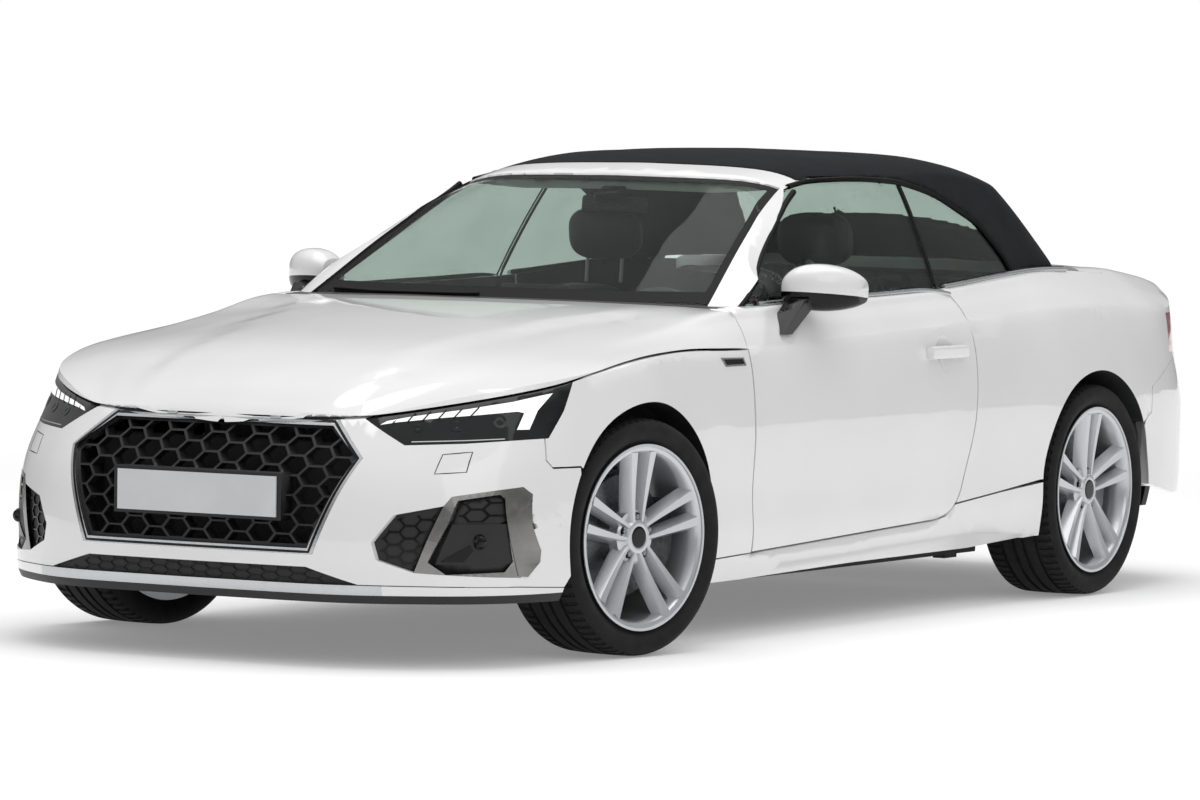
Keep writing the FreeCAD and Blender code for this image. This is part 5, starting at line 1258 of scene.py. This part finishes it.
RING_SECTION = [(0, 25), (9, 25), (9, 31), (0, 33)]
# A black disc just inside each ring is painted shade in the hollow of the pipe.
PIPE_SHADE_SECTION = [(0.2, 0.01), (0.8, 0.01), (0.8, 26), (0.2, 26)]
PIPE_AT = (0.470, 2.290, 0.232)
for side in (-1, 1):
    pipe_end = Matrix.Translation((side * PIPE_AT[0], *PIPE_AT[1:])) @ Matrix.Rotation(QUARTER_TURN, 4, "Z")
    finished(turned(RING_SECTION, 32, pipe_end), "tail_pipe_ring_" + SIDES[side], CHROME)
    finished(turned(PIPE_SHADE_SECTION, 32, pipe_end), "tail_pipe_bore_" + SIDES[side], SEAL)


# Camera, light and floor

CAMERA_AT = Vector((9.9395, -16.8319, 1.6017))
YAW, PITCH, ROLL = 0.53890, 0.0501, 0.0144
FOCUS_PX = 6473.47
PHOTO_WIDTH_PX = 1200
SENSOR_MM = 36
FLOOR_HALF, FLOOR_DROP, FLOOR_GLOW = 60, 0.0005, 0.22
GLOW_FROM, GLOW_TO = 3.2, 9.0
SKY_LOW, SKY_HIGH, SKY_FROM, SKY_TO = 0.2, 0.85, 0.02, 0.75
LAMPS = (
    ("overhead_softbox", (0, 0, 7.0), (0, 0, 0), 6.0, 8.0, 260),
    ("side_softbox", (7.0, -5.0, 4.5), (0, 58, -30), 4.0, 5.0, 70),
)


def set_camera():
    """Camera at the photograph's place and angle."""
    ahead = Vector((-math.sin(YAW) * math.cos(PITCH), math.cos(YAW) * math.cos(PITCH), -math.sin(PITCH)))
    right = ahead.cross(Vector((0, 0, 1))).normalized()
    up = right.cross(ahead)
    turned_right = right * math.cos(ROLL) + up * math.sin(ROLL)
    turned_up = up * math.cos(ROLL) - right * math.sin(ROLL)
    lens = bpy.data.cameras.new("camera")
    lens.sensor_width = SENSOR_MM
    lens.lens = FOCUS_PX * SENSOR_MM / PHOTO_WIDTH_PX
    lens.clip_end = 200
    camera = bpy.data.objects.new("camera", lens)
    bpy.context.scene.collection.objects.link(camera)
    camera.matrix_world = Matrix.Translation(CAMERA_AT) @ Matrix(
        (turned_right, turned_up, -ahead)).transposed().to_4x4()
    bpy.context.scene.camera = camera


def seen_directly(tree):
    """1 for rays that reach the surround from the camera, straight or through glass, else 0."""
    path = add(tree, "LightPath")
    unscattered = add(tree, "Math", {"operation": "LESS_THAN", 1: 0.5}, {0: path.outputs["Diffuse Depth"]})
    through = add(tree, "Math", {"operation": "MULTIPLY"}, {
        0: path.outputs["Is Transmission Ray"], 1: unscattered.outputs["Value"]})
    return add(tree, "Math", {"operation": "MAXIMUM"}, {
        0: path.outputs["Is Camera Ray"], 1: through.outputs["Value"]}).outputs["Value"]


def studio_floor_paint():
    """Pale matt floor that turns into an even white some metres from the car."""
    made, tree, shader, place = surface("pale_studio_floor", "E9E9E9", {
        "Roughness": 0.9, "Specular IOR Level": 0.1, "Emission Color": linear("FFFFFF")})
    away = add(tree, "VectorMath", {"operation": "LENGTH"}, {0: place}).outputs["Value"]
    glow = between(tree, away, GLOW_FROM, GLOW_TO, FLOOR_GLOW, 1.0)
    tree.links.new(glow, shader.inputs["Emission Strength"])
    shade = add(tree, "Mix", {"data_type": "RGBA", 6: linear("E9E9E9"), 7: linear("000000")}, {
        0: between(tree, away, GLOW_FROM, GLOW_TO, 0.0, 1.0)})
    tree.links.new(shade.outputs[2], shader.inputs["Base Color"])
    return made


def set_stage():
    """Pale floor, soft studio lamps and a surround that is white to the eye and graded in reflections."""
    bm = bmesh.new()
    bmesh.ops.create_grid(bm, x_segments=1, y_segments=1, size=FLOOR_HALF)
    bm.transform(Matrix.Translation((0, 0, -FLOOR_DROP)))
    mesh = bpy.data.meshes.new("studio_floor")
    bm.to_mesh(mesh)
    bm.free()
    floor = bpy.data.objects.new("studio_floor", mesh)
    mesh.materials.append(studio_floor_paint())
    bpy.context.scene.collection.objects.link(floor)
    world = bpy.data.worlds.new("studio")
    world.use_nodes = True
    bpy.context.scene.world = world
    tree = world.node_tree
    tree.nodes.clear()
    height = add(tree, "SeparateXYZ", {}, {0: add(tree, "TexCoord").outputs["Generated"]}).outputs["Z"]
    graded = between(tree, height, SKY_FROM, SKY_TO, SKY_LOW, SKY_HIGH)
    strength = add(tree, "Mix", {"data_type": "FLOAT", 3: 1.0}, {0: seen_directly(tree), 2: graded})
    background = add(tree, "Background", {"Color": linear("FFFFFF")}, {"Strength": strength.outputs[0]})
    add(tree, "OutputWorld", {}, {"Surface": background.outputs["Background"]})
    for name, place, turn, width, length, power in LAMPS:
        light = bpy.data.lights.new(name, "AREA")
        light.shape = "RECTANGLE"
        light.size = width
        light.size_y = length
        light.energy = power
        lamp = bpy.data.objects.new(name, light)
        lamp.location = place
        lamp.rotation_euler = [math.radians(angle) for angle in turn]
        bpy.context.scene.collection.objects.link(lamp)


set_camera()
set_stage()
bpy.context.scene.view_settings.view_transform = "Standard"
